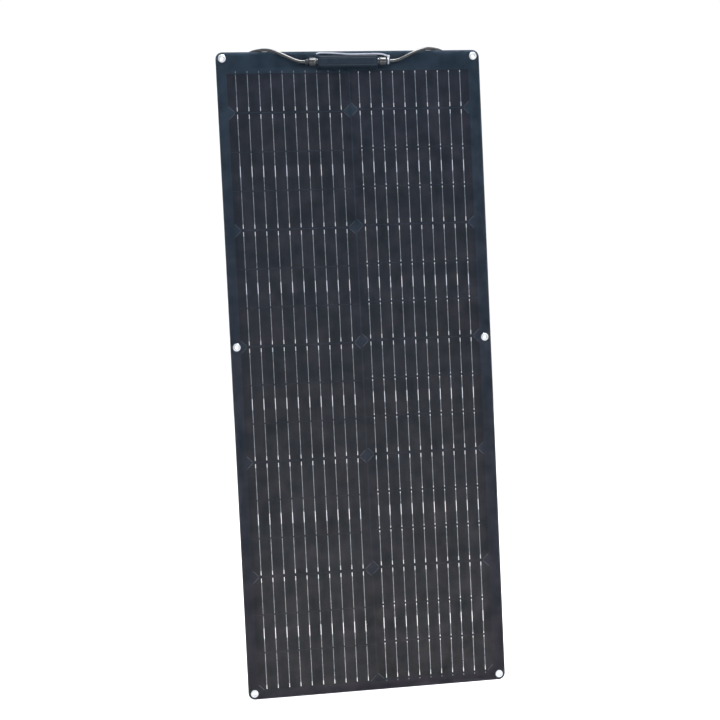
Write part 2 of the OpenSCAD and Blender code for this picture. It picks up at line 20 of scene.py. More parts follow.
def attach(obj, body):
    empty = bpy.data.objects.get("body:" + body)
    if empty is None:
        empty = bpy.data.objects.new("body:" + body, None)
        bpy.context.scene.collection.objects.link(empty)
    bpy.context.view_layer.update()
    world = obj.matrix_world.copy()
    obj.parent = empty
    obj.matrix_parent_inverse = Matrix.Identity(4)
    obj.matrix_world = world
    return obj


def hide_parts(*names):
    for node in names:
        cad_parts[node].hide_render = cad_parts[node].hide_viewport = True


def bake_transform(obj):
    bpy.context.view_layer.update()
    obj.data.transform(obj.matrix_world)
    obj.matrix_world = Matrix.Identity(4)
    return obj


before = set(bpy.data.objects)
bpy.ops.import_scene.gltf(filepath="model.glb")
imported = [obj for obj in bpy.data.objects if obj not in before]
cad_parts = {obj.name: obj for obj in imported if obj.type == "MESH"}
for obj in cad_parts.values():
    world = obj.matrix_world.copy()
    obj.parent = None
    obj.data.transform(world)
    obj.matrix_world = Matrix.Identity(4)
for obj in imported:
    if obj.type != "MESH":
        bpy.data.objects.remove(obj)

LOG = logging.getLogger("solar_sheet")
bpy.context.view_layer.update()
MM = 0.001
# Name of the mesh attribute that carries a tone to the ribbons' and cells' finishes.
TONE = "tone"
# A band pattern of scale 1 repeats every 0.314 m.
BAND_REPEAT = 0.31416
# Height over which a painted reflection of the sky shifts the sheet's colours from those at the top
# to those at the bottom.
SKY_SHEEN_LENGTH = 1000.0
Flat = tuple[float, float]
Spot = tuple[float, float, float]
Colour = tuple[float, float, float, float]
Tree = bpy.types.NodeTree
Socket = bpy.types.NodeSocket
Piece = bpy.types.Object
# Gives a new radius from radius, distance along the axis and angle.
Swell = Callable[[float, float, float], float]


def linear(code: str) -> Colour:
    """Turns an sRGB hex colour into the linear one that shaders take.

    Args:
        code: Colour such as "#2f3a45".

    Returns:
        Red, green, blue and an alpha of 1, linear.
    """
    parts = [int(code[i : i + 2], 16) / 255 for i in (1, 3, 5)]
    red, green, blue = (p / 12.92 if p <= 0.04045 else ((p + 0.055) / 1.055) ** 2.4 for p in parts)
    return red, green, blue, 1.0


def add_node(
    tree: Tree, kind: str, inputs: dict | None = None, **settings: object
) -> bpy.types.Node:
    """Adds one node with its settings, values and links.

    Args:
        tree: Node tree that takes the node.
        kind: Blender's name for the node, without ShaderNode in front.
        inputs: Value or output socket for each input, by name or number.
        **settings: Properties of the node itself.

    Returns:
        The node.
    """
    node = tree.nodes.new(f"ShaderNode{kind}")
    for name, value in settings.items():
        setattr(node, name, value)
    for key, value in (inputs or {}).items():
        if isinstance(value, Socket):
            tree.links.new(value, node.inputs[key])
        else:
            node.inputs[key].default_value = value
    return node


# -----------------------------------------------------------------------------
# Finishes
# -----------------------------------------------------------------------------


@dataclass(frozen=True)
class Finish:
    """A surface, named for its material and how it was made."""

    name: str

    def material(self) -> bpy.types.Material:
        """Makes the finish as a material the first time, and finds it after that.

        Returns:
            The material.
        """
        found = bpy.data.materials.get(self.name)
        if found is None:
            found = bpy.data.materials.new(self.name)
            found.use_nodes = True
            tree = found.node_tree
            tree.nodes.clear()
            add_node(tree, "OutputMaterial", {"Surface": self.surface(tree)})
        return found

    def surface(self, tree: Tree) -> Socket:
        """Builds the shader; each kind of finish has its own.

        Args:
            tree: Tree of the material.

        Returns:
            The shader's output.
        """
        raise NotImplementedError

    def grain(self, tree: Tree, size: float, detail: float = 2.0) -> Socket:
        """Noise whose blotches are about a given size.

        Args:
            tree: Tree of the material.
            size: Size of a blotch in millimetres.
            detail: Octaves of finer noise on top.

        Returns:
            The noise as a number from 0 to 1.
        """
        place = add_node(tree, "TexCoord").outputs["Object"]
        noise = {"Vector": place, "Scale": 1 / (size * MM), "Detail": detail, "Roughness": 0.55}
        return add_node(tree, "TexNoise", noise).outputs["Fac"]

    def fall(self, tree: Tree) -> Socket:
        """How far down the sheet a point lies, for the painted reflection of the sky that shifts
        colours from the top down.

        Args:
            tree: Tree of the material.

        Returns:
            0 at the top and 1 at the bottom.
        """
        place = add_node(tree, "TexCoord").outputs["Object"]
        height = add_node(tree, "SeparateXYZ", {"Vector": place}).outputs["Z"]
        down = {"Value": height, "From Min": 0.0, "From Max": -SKY_SHEEN_LENGTH * MM}
        return add_node(tree, "MapRange", down).outputs["Result"]

    def spread(self, tree: Tree, value: Socket, low: float, high: float) -> Socket:
        """Spreads the middle of a noise over a range.

        Args:
            tree: Tree of the material.
            value: Noise from 0 to 1.
            low: Result where the noise is low.
            high: Result where the noise is high.

        Returns:
            The spread value.
        """
        ends = {"Value": value, "From Min": 0.3, "From Max": 0.7, "To Min": low, "To Max": high}
        return add_node(tree, "MapRange", ends).outputs["Result"]

    def blend_colours(
        self, tree: Tree, share: Socket, low: str | Socket, high: str
    ) -> Socket:
        """Mixes two colours.

        Args:
            tree: Tree of the material.
            share: How much of the second colour shows, from 0 to 1.
            low: First colour as hex, or a colour made by other nodes.
            high: Second colour as hex.

        Returns:
            The mixed colour.
        """
        first = linear(low) if isinstance(low, str) else low
        mixed = add_node(tree, "Mix", {0: share, 6: first, 7: linear(high)}, data_type="RGBA")
        return mixed.outputs[2]

    def relief(self, tree: Tree, height: Socket, depth: float, strength: float) -> Socket:
        """Bump of a given depth.

        Args:
            tree: Tree of the material.
            height: Height from 0 to 1.
            depth: Depth of the relief in millimetres.
            strength: How much of it shows.

        Returns:
            The bumped normal.
        """
        bump = {"Height": height, "Distance": depth * MM, "Strength": strength}
        return add_node(tree, "Bump", bump).outputs["Normal"]


@dataclass(frozen=True)
class Moulded(Finish):
    """Moulded or extruded plastic or rubber: an even colour, faint mottling and a fine texture."""

    colour: str
    mottle: str
    roughness: float
    grain_size: float
    depth: float = 0.02
    ior: float = 1.5
    flow_size: float = 9.0
    worn: float = 0.05
    # Share of the usual gloss; a grain or bloom too fine to model takes the rest away.
    gloss: float = 0.5
    # Colour at the bottom of the sheet, for a finish with a painted reflection of the sky that
    # shifts its colour from the top down.
    lower: str | None = None

    def surface(self, tree: Tree) -> Socket:
        """Builds the plastic.

        Args:
            tree: Tree of the material.

        Returns:
            The shader's output.
        """
        flow = self.grain(tree, self.flow_size)
        fine = self.grain(tree, self.grain_size, 3.0)
        colour = self.blend_colours(
            tree, self.spread(tree, flow, 0.0, 1.0), self.colour, self.mottle
        )
        # Painted reflection of the sky: the colour shifts towards the lower one down the sheet.
        if self.lower:
            colour = self.blend_colours(tree, self.fall(tree), colour, self.lower)
        sockets = {
            "Base Color": colour,
            "Roughness": self.spread(
                tree, flow, self.roughness - self.worn, self.roughness + self.worn
            ),
            "Normal": self.relief(tree, fine, self.depth, 0.5),
            "IOR": self.ior,
            "Specular IOR Level": 0.5 * self.gloss,
        }
        return add_node(tree, "BsdfPrincipled", sockets).outputs["BSDF"]


@dataclass(frozen=True)
class Plated(Finish):
    """Plated metal: bright, with slight tarnish in patches and fine handling marks."""

    colour: str
    tarnish: str
    roughness: float
    grain_size: float
    depth: float = 0.01

    def surface(self, tree: Tree) -> Socket:
        """Builds the metal.

        Args:
            tree: Tree of the material.

        Returns:
            The shader's output.
        """
        # Tarnish comes in patches six times as large as the marks.
        patches = self.grain(tree, 6 * self.grain_size)
        marks = self.grain(tree, self.grain_size, 4.0)
        sockets = {
            "Base Color": self.blend_colours(
                tree, self.spread(tree, patches, 0.0, 1.0), self.colour, self.tarnish
            ),
            "Metallic": 1.0,
            "Roughness": self.spread(tree, marks, self.roughness - 0.06, self.roughness + 0.08),
            "Normal": self.relief(tree, marks, self.depth, 0.4),
        }
        return add_node(tree, "BsdfPrincipled", sockets).outputs["BSDF"]


@dataclass(frozen=True)
class TinnedRibbon(Finish):
    """Copper ribbon, tinned and soldered down: dull grey, bright where fresh solder has run."""

    dull: str = "#b2b6bc"
    oxide: str = "#777b83"
    solder: str = "#f6f7f9"
    # Where a ribbon bends down into a gap it mirrors the dark cells, and looks nearly black.
    dip: str = "#2a2f38"
    roughness: float = 0.34
    ripple: float = 3.5

    def surface(self, tree: Tree) -> Socket:
        """Builds the ribbon, bright by the mesh's tone.

        Args:
            tree: Tree of the material.

        Returns:
            The shader's output.
        """
        tone = add_node(tree, "Attribute", attribute_name=TONE).outputs["Fac"]
        ripple = self.grain(tree, self.ripple, 3.0)
        grey = self.blend_colours(tree, self.spread(tree, ripple, 0.0, 1.0), self.dull, self.oxide)
        dip = add_node(
            tree, "MapRange", {"Value": tone, "From Min": 0.0, "From Max": -1.0}
        ).outputs["Result"]
        bright = self.blend_colours(tree, tone, grey, self.solder)
        sockets = {
            "Base Color": self.blend_colours(tree, dip, bright, self.dip),
            "Metallic": 1.0,
            "Roughness": self.spread(tree, ripple, self.roughness - 0.08, self.roughness + 0.08),
            "Normal": self.relief(tree, ripple, 0.03, 0.5),
        }
        return add_node(tree, "BsdfPrincipled", sockets).outputs["BSDF"]


@dataclass(frozen=True)
class SiliconCell(Finish):
    """Monocrystalline silicon, etched and nitride-coated: a nearly black navy.

    It differs a little from strip to strip, and fine silver fingers cross it.
    """

    blue: str = "#091527"
    violet: str = "#0f121f"
    # Colour at the bottom of the sheet: painted reflection of the sky, which makes the cells duller
    # lower down.
    lower: str = "#110e13"
    finger: str = "#4a5160"
    # Fingers are 1.5 mm apart. They are really 0.05 mm wide and are drawn about 0.15 mm wide, so
    # that they show.
    finger_pitch: float = 1.5
    cloud: float = 45.0
    etch: float = 0.6
    roughness: float = 0.45
    specular: float = 0.54

    def surface(self, tree: Tree) -> Socket:
        """Builds the cell.

        Args:
            tree: Tree of the material.

        Returns:
            The shader's output.
        """
        place = add_node(tree, "TexCoord").outputs["Object"]
        tone = add_node(tree, "Attribute", attribute_name=TONE).outputs["Fac"]
        cloud = self.grain(tree, self.cloud, 3.0)
        mixed = add_node(
            tree, "Math", {0: tone, 1: self.spread(tree, cloud, -0.25, 0.25)}, operation="ADD"
        )
        body = self.blend_colours(tree, mixed.outputs[0], self.blue, self.violet)
        # Painted reflection of the sky: the cells shift towards the lower colour down the sheet.
        body = self.blend_colours(tree, self.fall(tree), body, self.lower)
        bands = {"Vector": place, "Scale": BAND_REPEAT / (self.finger_pitch * MM)}
        wave = add_node(
            tree, "TexWave", bands, wave_type="BANDS", bands_direction="Z", wave_profile="SIN"
        )
        line = {"Value": wave.outputs["Fac"], "From Min": 0.95, "From Max": 1.0, "To Max": 0.3}
        fingers = add_node(tree, "MapRange", line).outputs["Result"]
        sockets = {
            "Base Color": self.blend_colours(tree, fingers, body, self.finger),
            "Roughness": self.spread(tree, cloud, self.roughness - 0.05, self.roughness + 0.1),
            "Normal": self.relief(tree, self.grain(tree, self.etch), 0.004, 0.3),
            "Specular IOR Level": self.specular,
        }
        return add_node(tree, "BsdfPrincipled", sockets).outputs["BSDF"]


@dataclass(frozen=True)
class FluoropolymerFilm(Finish):
    """ETFE film, laminated against a matt plate: clear, with a soft gloss at glancing angles.

    Its colour changes a little down the sheet, bluer at the top and warmer below: a painted
    reflection of the sky. Its faint head-on gloss is left to the layers below.
    """

    # Tints at the top and at the bottom of the sheet: a painted reflection of the sky, bluer at the
    # top and warmer lower down.
    upper: str = "#fafcff"
    lower: str = "#fffcf9"
    gloss: str = "#eef3f8"
    ior: float = 1.4
    roughness: float = 0.5
    # The plate's pebbles are really 0.8 mm apart. They are drawn as a slow waviness 25 mm apart,
    # which shows.
    pebble: float = 25.0
    drift: float = 160.0
    # Share of light that the film mirrors head-on, which is left to the layers below.
    head_on: float = 0.04

    def surface(self, tree: Tree) -> Socket:
        """Builds the film.

        Args:
            tree: Tree of the material.

        Returns:
            The shader's output.
        """
        drift = self.grain(tree, self.drift)
        fall = self.fall(tree)
        share = add_node(
            tree, "Math", {0: fall, 1: self.spread(tree, drift, -0.15, 0.15)}, operation="ADD"
        )
        # Painted reflection of the sky: the tint shifts from the upper to the lower one down the
        # sheet, with random blotches.
        colour = self.blend_colours(tree, share.outputs[0], self.upper, self.lower)
        clear = add_node(tree, "BsdfTransparent", {"Color": colour})
        dull = {
            "Color": linear(self.gloss),
            "Roughness": self.spread(tree, drift, self.roughness - 0.05, self.roughness + 0.05),
            "Normal": self.relief(tree, self.grain(tree, self.pebble, 1.0), 0.06, 0.5),
        }
        sheen = add_node(tree, "BsdfAnisotropic", dull)
        mirror = add_node(tree, "Fresnel", {"IOR": self.ior}).outputs[0]
        glancing = {"Value": mirror, "From Min": self.head_on, "From Max": 1.0}
        edge = add_node(tree, "MapRange", glancing).outputs["Result"]
        return add_node(
            tree, "MixShader", {0: edge, 1: clear.outputs[0], 2: sheen.outputs[0]}
        ).outputs[0]


@dataclass(frozen=True)
class ClearEncapsulant(Finish):
    """Polyolefin encapsulant, cured under vacuum: clear, with a trace of haze."""

    clear: str = "#fdfdff"
    haze: str = "#f4f6f8"
    cloud: float = 30.0

    def surface(self, tree: Tree) -> Socket:
        """Builds the clear layer.

        Args:
            tree: Tree of the material.

        Returns:
            The shader's output.
        """
        haze = self.spread(tree, self.grain(tree, self.cloud), 0.0, 1.0)
        colour = self.blend_colours(tree, haze, self.clear, self.haze)
        return add_node(tree, "BsdfTransparent", {"Color": colour}).outputs[0]


@dataclass(frozen=True)
class GlassBoard(Finish):
    """Glass-fibre laminate, pressed with black resin: dark, with a faint plain weave."""

    resin: str = "#14181c"
    glass: str = "#262c31"
    # Yarns of the glass cloth are really 0.6 mm apart and are drawn 1.2 mm apart, so that they
    # show.
    yarn: float = 1.2
    stain: float = 60.0
    roughness: float = 0.42

    def surface(self, tree: Tree) -> Socket:
        """Builds the board with its woven relief.

        Args:
            tree: Tree of the material.

        Returns:
            The shader's output.
        """
        place = add_node(tree, "TexCoord").outputs["Object"]
        bands = {
            "Vector": place, "Scale": BAND_REPEAT / (self.yarn * MM), "Distortion": 0.4,
            "Detail": 1.0
        }
        warp = add_node(tree, "TexWave", bands, bands_direction="X").outputs["Fac"]
        weft = add_node(tree, "TexWave", bands, bands_direction="Z").outputs["Fac"]
        cloth = add_node(tree, "Math", {0: warp, 1: weft}, operation="MULTIPLY").outputs[0]
        stain = self.grain(tree, self.stain, 3.0)
        sockets = {
            "Base Color": self.blend_colours(tree, cloth, self.resin, self.glass),
            "Roughness": self.spread(tree, stain, self.roughness - 0.08, self.roughness + 0.1),
            "Normal": self.relief(tree, cloth, 0.03, 0.4),
        }
        return add_node(tree, "BsdfPrincipled", sockets).outputs["BSDF"]


# ETFE film over the cells: the soft sheen that makes the whole front look dull rather than glassy.
FILM = FluoropolymerFilm("etfe_film_laminated")
# Clear encapsulant round the cells: almost nothing to the eye but depth.
CLEAR = ClearEncapsulant("polyolefin_encapsulant_cured")
# Black rear encapsulant: the blue-grey of the bare margins and of the diamonds between the cells.
# Its lower colour is painted reflection of the sky: the margins turn duller and more violet down
# the sheet.
BLACK_REAR = Moulded(
    "polyolefin_black_rolled", "#213746", "#253b49", 0.55, 9.0,
    flow_size=70.0, gloss=0.95, lower="#25212e",
)
# Glass-fibre board: the dark, faintly woven back.
BOARD = GlassBoard("glass_fibre_board_pressed")
# Its sawn edge: open glass fibre, so paler and rougher, and painted paler still as a highlight,
# which draws a thin light line round the sheet.
BOARD_EDGE = Moulded("glass_fibre_board_sawn_highlit", "#59646c", "#8b959c", 0.62, 0.4, flow_size=3.0)
# Silicon cells: the nearly black navy strips.
CELL = SiliconCell("monocrystalline_silicon_coated")
# Tinned copper ribbons: the fine pale lines.
RIBBON = TinnedRibbon("copper_ribbon_tinned")
# Bus ribbons under a black coat: they almost vanish in the margins.
# Its lower colour is painted reflection of the sky, as on the margins.
BUS = Moulded(
    "copper_bus_lacquered_black", "#20364a", "#263c4b", 0.55, 0.8, gloss=0.9, lower="#25212e"
)
# Nickel-plated brass, pressed: a nearly white, soft mirror for the eyelets.
EYELET = Plated("brass_nickel_plated_pressed", "#c0c3c8", "#aeb2b8", 0.28, 0.7)
# Silver paste, screen-printed and fired: the faint pale line along each cut corner of a cell.
PASTE = Plated("silver_paste_fired", "#787f8b", "#666c78", 0.5, 0.8)
# Stamped and zinc-plated washers: a greyer, duller metal.
WASHER = Plated("steel_zinc_plated_stamped", "#c9ccd0", "#a9adb3", 0.34, 0.5)
# Black PPE, moulded in a spark-eroded tool: matt with a fine even grain.
BOX = Moulded(
    "ppe_moulded_spark_textured", "#111a24", "#161f29", 0.42, 0.35, depth=0.03, gloss=0.16
)
# Black nylon 66, moulded in a polished tool: a glossier black that takes pale highlights.
NUT = Moulded(
    "nylon66_moulded_polished", "#14171c", "#1a1e24", 0.2, 0.5, depth=0.006, worn=0.03, gloss=1.0
)
# Silicone rubber seals: soft black with a faint bloom.
SEAL = Moulded("silicone_rubber_moulded", "#1b1d20", "#26292c", 0.55, 0.6)
# Neutral silicone adhesive, cured under pressure: a soft dark line under the box.
BOND = Moulded("silicone_adhesive_cured", "#101214", "#181a1c", 0.6, 1.5, depth=0.05)
# Tinned brass, milled: terminals with a warm grey shine.
TERMINAL = Plated("brass_tinned_milled", "#cfc7b2", "#b3a88c", 0.3, 0.6)
# Silver-plated copper, turned: the contacts.
CONTACT = Plated("copper_silver_plated_turned", "#e3e4e3", "#c4c3bd", 0.2, 0.5)
# Epoxy, transfer-moulded: the matt black diode.
DIODE = Moulded("epoxy_transfer_moulded", "#15161a", "#1e2025", 0.5, 0.3)
# Natural nylon ties, moulded: milky with a pale lavender cast.
TIE = Moulded("nylon_natural_moulded", "#7d828e", "#8d919d", 0.4, 0.8, ior=1.53)
# Cross-linked polyolefin cable sheath, extruded: satin black with faint lengthwise draw marks.
CABLE = Moulded(
    "polyolefin_sheath_extruded", "#14161a", "#1b1e23", 0.2, 1.1, depth=0.006, worn=0.03, gloss=1.0
)
# Rolled paint on a studio floor: pale, matt and even.
FLOOR = Moulded("floor_paint_rolled", "#e6e6e5", "#e2e2e1", 0.8, 4.0, flow_size=500.0)


# -----------------------------------------------------------------------------
# Mesh work
# -----------------------------------------------------------------------------


def ease(share: float) -> float:
    """Smooth step from 0 to 1."""
    share = min(max(share, 0.0), 1.0)
    return share * share * (3 - 2 * share)


def oblong(low: Flat, high: Flat) -> list[Flat]:
    """Corners of an upright rectangle, anticlockwise from its lowest one."""
    return [low, (high[0], low[1]), high, (low[0], high[1])]


def eased(corners: Sequence[Flat], radius: float, steps: int = 3) -> list[Flat]:
    """Rounds the corners of a closed outline, as a moulding or press tool does.

    Args:
        corners: Corner points.
        radius: Size of the rounding.
        steps: Pieces in each rounded corner.

    Returns:
        The rounded outline.
    """
    rounded = []
    for i, corner in enumerate(corners):
        at, before, after = map(Vector, (corner, corners[i - 1], corners[(i + 1) % len(corners)]))
        # A rounding takes up less than half of a short side.
        ways = before - at, after - at
        cuts = [at + way.normalized() * min(radius, 0.45 * way.length) for way in ways]
        for k in range(steps + 1):
            t = k / steps
            rounded.append(tuple(cuts[0] * (1 - t) ** 2 + at * 2 * t * (1 - t) + cuts[1] * t**2))
    return rounded


def circle(count: int) -> list[float]:
    """Angles of evenly spaced points round a circle."""
    return [math.tau * k / count for k in range(count)]


def rounded_rectangle(low: Flat, high: Flat, radius: float, steps: int = 8) -> list[Flat]:
    """Outline of a rectangle with round corners, anticlockwise.

    Args:
        low: Lowest corner.
        high: Highest corner.
        radius: Corner radius.
        steps: Pieces in each quarter circle.

    Returns:
        The outline.
    """
    centres = [(high[0] - radius, high[1] - radius), (low[0] + radius, high[1] - radius)]
    centres += [(low[0] + radius, low[1] + radius), (high[0] - radius, low[1] + radius)]
    outline = []
    for quarter, (x, y) in enumerate(centres):
        for k in range(steps + 1):
            angle = math.pi / 2 * (quarter + k / steps)
            outline.append((x + radius * math.cos(angle), y + radius * math.sin(angle)))
    return outline


def smooth_route(points: Sequence[Vector], steps: int = 5) -> list[Vector]:
    """One smooth curve through all the points.

    Args:
        points: Points on the route.
        steps: Pieces between two points.

    Returns:
        Points close together on the curve.
    """
    route = []
    for i in range(len(points) - 1):
        a, b = points[i], points[i + 1]
        before, after = points[max(i - 1, 0)], points[min(i + 2, len(points) - 1)]
        for k in range(steps):
            t = k / steps
            bend = (b - before) * t + (2 * before - 5 * a + 4 * b - after) * t**2
            route.append(a + 0.5 * (bend + (3 * a - before - 3 * b + after) * t**3))
    return [*route, points[-1]]


def put(name: str, data: bpy.types.ID) -> Piece:
    """Puts a mesh, curve, light or camera into the scene as an object.

    Args:
        name: Name of the object.
        data: What it shows.

    Returns:
        The object.
    """
    made = bpy.data.objects.new(name, data)
    bpy.context.scene.collection.objects.link(made)
    return made


@dataclass(frozen=True)
class Axis:
    """The line that a turned piece is built round."""

    origin: Spot
    along: Spot

    def point(self, radius: float, angle: float, distance: float) -> Vector:
        """A point at a radius and angle round the line, a distance along it.

        Args:
            radius: Distance from the line.
            angle: Angle round it.
            distance: Distance along it.

        Returns:
            The point.
        """
        along = Vector(self.along).normalized()
        upright = abs(along.z) > 0.9
        side = along.orthogonal() if upright else along.cross(Vector((0, 0, 1)))
        side.normalize()
        out = side * math.cos(angle) + along.cross(side) * math.sin(angle)
        return Vector(self.origin) + along * distance + out * radius


@dataclass
class Shape:
    """Points and faces of one piece while it is being built."""

    points: list[Vector] = field(default_factory=list)
    faces: list[tuple[int, ...]] = field(default_factory=list)
    slots: list[int] = field(default_factory=list)
    tones: list[float] = field(default_factory=list)

    def add(
        self,
        points: Sequence[Vector],
        faces: Sequence[tuple[int, ...]],
        slot: int = 0,
        tones: Sequence[float] | None = None,
    ) -> None:
        """Adds loose points and faces.

        Args:
            points: New points.
            faces: Faces by the numbers of the new points.
            slot: Which of the piece's finishes the faces take.
            tones: Tone of each new point, 0 if not given.
        """
        start = len(self.points)
        self.points += [Vector(p) for p in points]
        self.faces += [tuple(start + i for i in f) for f in faces]
        self.slots += [slot] * len(faces)
        self.tones += list(tones) if tones is not None else [0.0] * len(points)

    def loft(
        self,
        rings: Sequence[Sequence[Vector]],
        closed: bool = False,
        caps: bool = True,
        slot: int = 0,
        tones: Sequence[float] | None = None,
    ) -> None:
        """Skins a row of rings that all have the same number of points.

        Args:
            rings: The rings in order.
            closed: Whether the last ring joins the first.
            caps: Whether both ends are closed with a face.
            slot: Which finish the faces take.
            tones: Tone of each ring.
        """
        n, count = len(rings[0]), len(rings)
        faces = []
        for i in range(count if closed else count - 1):
            a, b = i * n, (i + 1) % count * n
            faces += [(a + j, a + (j + 1) % n, b + (j + 1) % n, b + j) for j in range(n)]
        if caps and not closed:
            faces += [tuple(range(n))[::-1], tuple(range((count - 1) * n, count * n))]
        spread = None if tones is None else [t for t in tones for _ in range(n)]
        self.add([p for ring in rings for p in ring], faces, slot, spread)

    def turned(
        self,
        axis: Axis,
        profile: Sequence[Flat],
        segments: int = 64,
        swell: Swell | None = None,
        slot: int = 0,
    ) -> None:
        """Turns a closed profile round an axis.

        Args:
            axis: The axis.
            profile: Closed outline as (radius, distance along the axis).
            segments: Pieces round the circle.
            swell: Gives a new radius from radius, distance and angle.
            slot: Which finish the faces take.
        """
        rings = []
        for a in circle(segments):
            rings.append([axis.point(swell(r, s, a) if swell else r, a, s) for r, s in profile])
        self.loft(rings, closed=True, slot=slot)

    def band(
        self,
        path: Sequence[Vector],
        across: Vector,
        width: float,
        thickness: float,
        closed: bool = False,
        widths: Sequence[float] | None = None,
        tones: Sequence[float] | None = None,
        round_edge: float = 0.0,
    ) -> None:
        """Sweeps a flat band along a path in one plane.

        Args:
            path: Middle line of the band.
            across: Direction of the band's width, square to the path's plane.
            width: Width of the band.
            thickness: Thickness of the band.
            closed: Whether the path is a loop.
            widths: Share of the width at each point of the path.
            tones: Tone at each point of the path.
            round_edge: Rounding of the band's long edges.
        """
        section = oblong((-thickness / 2, -width / 2), (thickness / 2, width / 2))
        if round_edge:
            section = eased(section, round_edge, 2)
        count, rings = len(path), []
        for i, point in enumerate(path):
            before = path[i - 1] if closed or i else path[0]
            after = path[(i + 1) % count] if closed or i < count - 1 else path[-1]
            out = across.cross(after - before).normalized()
            share = widths[i] if widths else 1.0
            rings.append([point + out * a + across * b * share for a, b in section])
        self.loft(rings, closed=closed, tones=tones)

    def make(self, name: str, *finishes: Finish, crease: float = 32.0) -> Piece:
        """Turns the shape into an object.

        Args:
            name: Name of the piece.
            *finishes: Its finishes, by slot.
            crease: Angle in degrees above which an edge stays sharp.

        Returns:
            The object, not yet on a body.
        """
        mesh = bpy.data.meshes.new(name)
        mesh.from_pydata([p * MM for p in self.points], [], self.faces)
        mesh.polygons.foreach_set("material_index", self.slots)
        if any(self.tones):
            mesh.attributes.new(TONE, "FLOAT", "POINT").data.foreach_set("value", self.tones)
        work = bmesh.new()
        work.from_mesh(mesh)
        bmesh.ops.recalc_face_normals(work, faces=work.faces)
        work.to_mesh(mesh)
        work.free()
        mesh.shade_smooth()
        mesh.set_sharp_from_angle(angle=math.radians(crease))
        for finish in finishes:
            mesh.materials.append(finish.material())
        return put(name, mesh)


def fit(piece: Piece, body: str, slot: str, *nodes: str) -> Piece:
    """Hangs a finished piece on its body and hides the CAD nodes it stands for.

    Args:
        piece: The piece.
        body: Name of its body.
        slot: Material slot of the record; not used.
        *nodes: CAD nodes that it replaces.

    Returns:
        The piece.
    """
    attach(piece, body)
    if nodes:
        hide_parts(*nodes)
    LOG.info("%s on %s", piece.name, body)
    return piece


def dress(node: str, finish: Finish) -> None:
    """Gives a CAD node that stays in view its finish.

    Args:
        node: Name of the node.
        finish: The finish.
    """
    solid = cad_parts[node]
    solid.data.materials.clear()
    solid.data.materials.append(finish.material())
    solid.data.polygons.foreach_set("material_index", [0] * len(solid.data.polygons))
    LOG.info("%s dressed as %s", node, finish.name)


# -----------------------------------------------------------------------------
# Sub-assemblies
# -----------------------------------------------------------------------------


class Side(Enum):
    """Which end of the junction box a piece belongs to, seen from the front."""

    LEFT = -1
    RIGHT = 1

    @property
    def label(self) -> str:
        """The side's name as used in pieces."""
        return self.name.lower()


@dataclass
class Layers:
    """Thickness of the laminate's layers, and the depths that follow from them."""

    board: float = 1.2
    rear: float = 0.4
    cell: float = 0.2
    front: float = 0.4
    film: float = 0.3
    ribbon: float = 0.15

    @property
    def cell_back(self) -> float:
        """Depth of the cells' back face."""
        return self.board + self.rear

    @property
    def cell_front(self) -> float:
        """Depth of the cells' front face."""
        return self.cell_back + self.cell

    @property
    def film_back(self) -> float:
        """Depth of the film's back face."""
        return self.cell_front + self.front

    @property
    def face(self) -> float:
        """Depth of the sheet's front face."""
        return self.film_back + self.film


@dataclass
class Segment:
    """Part of the laminate that spans one hinge; the parts meet in the middle of a band."""

    name: str
    top: float
    bottom: float
    hinge: float
    bodies: tuple[str, str]
    bands: tuple[int, int]
    rows: range

    def levels(self, reach: float, step: float) -> list[float]:
        """Heights of the rows of points that let the segment bend.

        Args:
            reach: Half height of the bend.
            step: Distance between two rows.

        Returns:
            The heights, all inside the bend.
        """
        count = round(2 * reach / step)
        return [self.hinge - reach + 2 * reach * k / count for k in range(count + 1)]


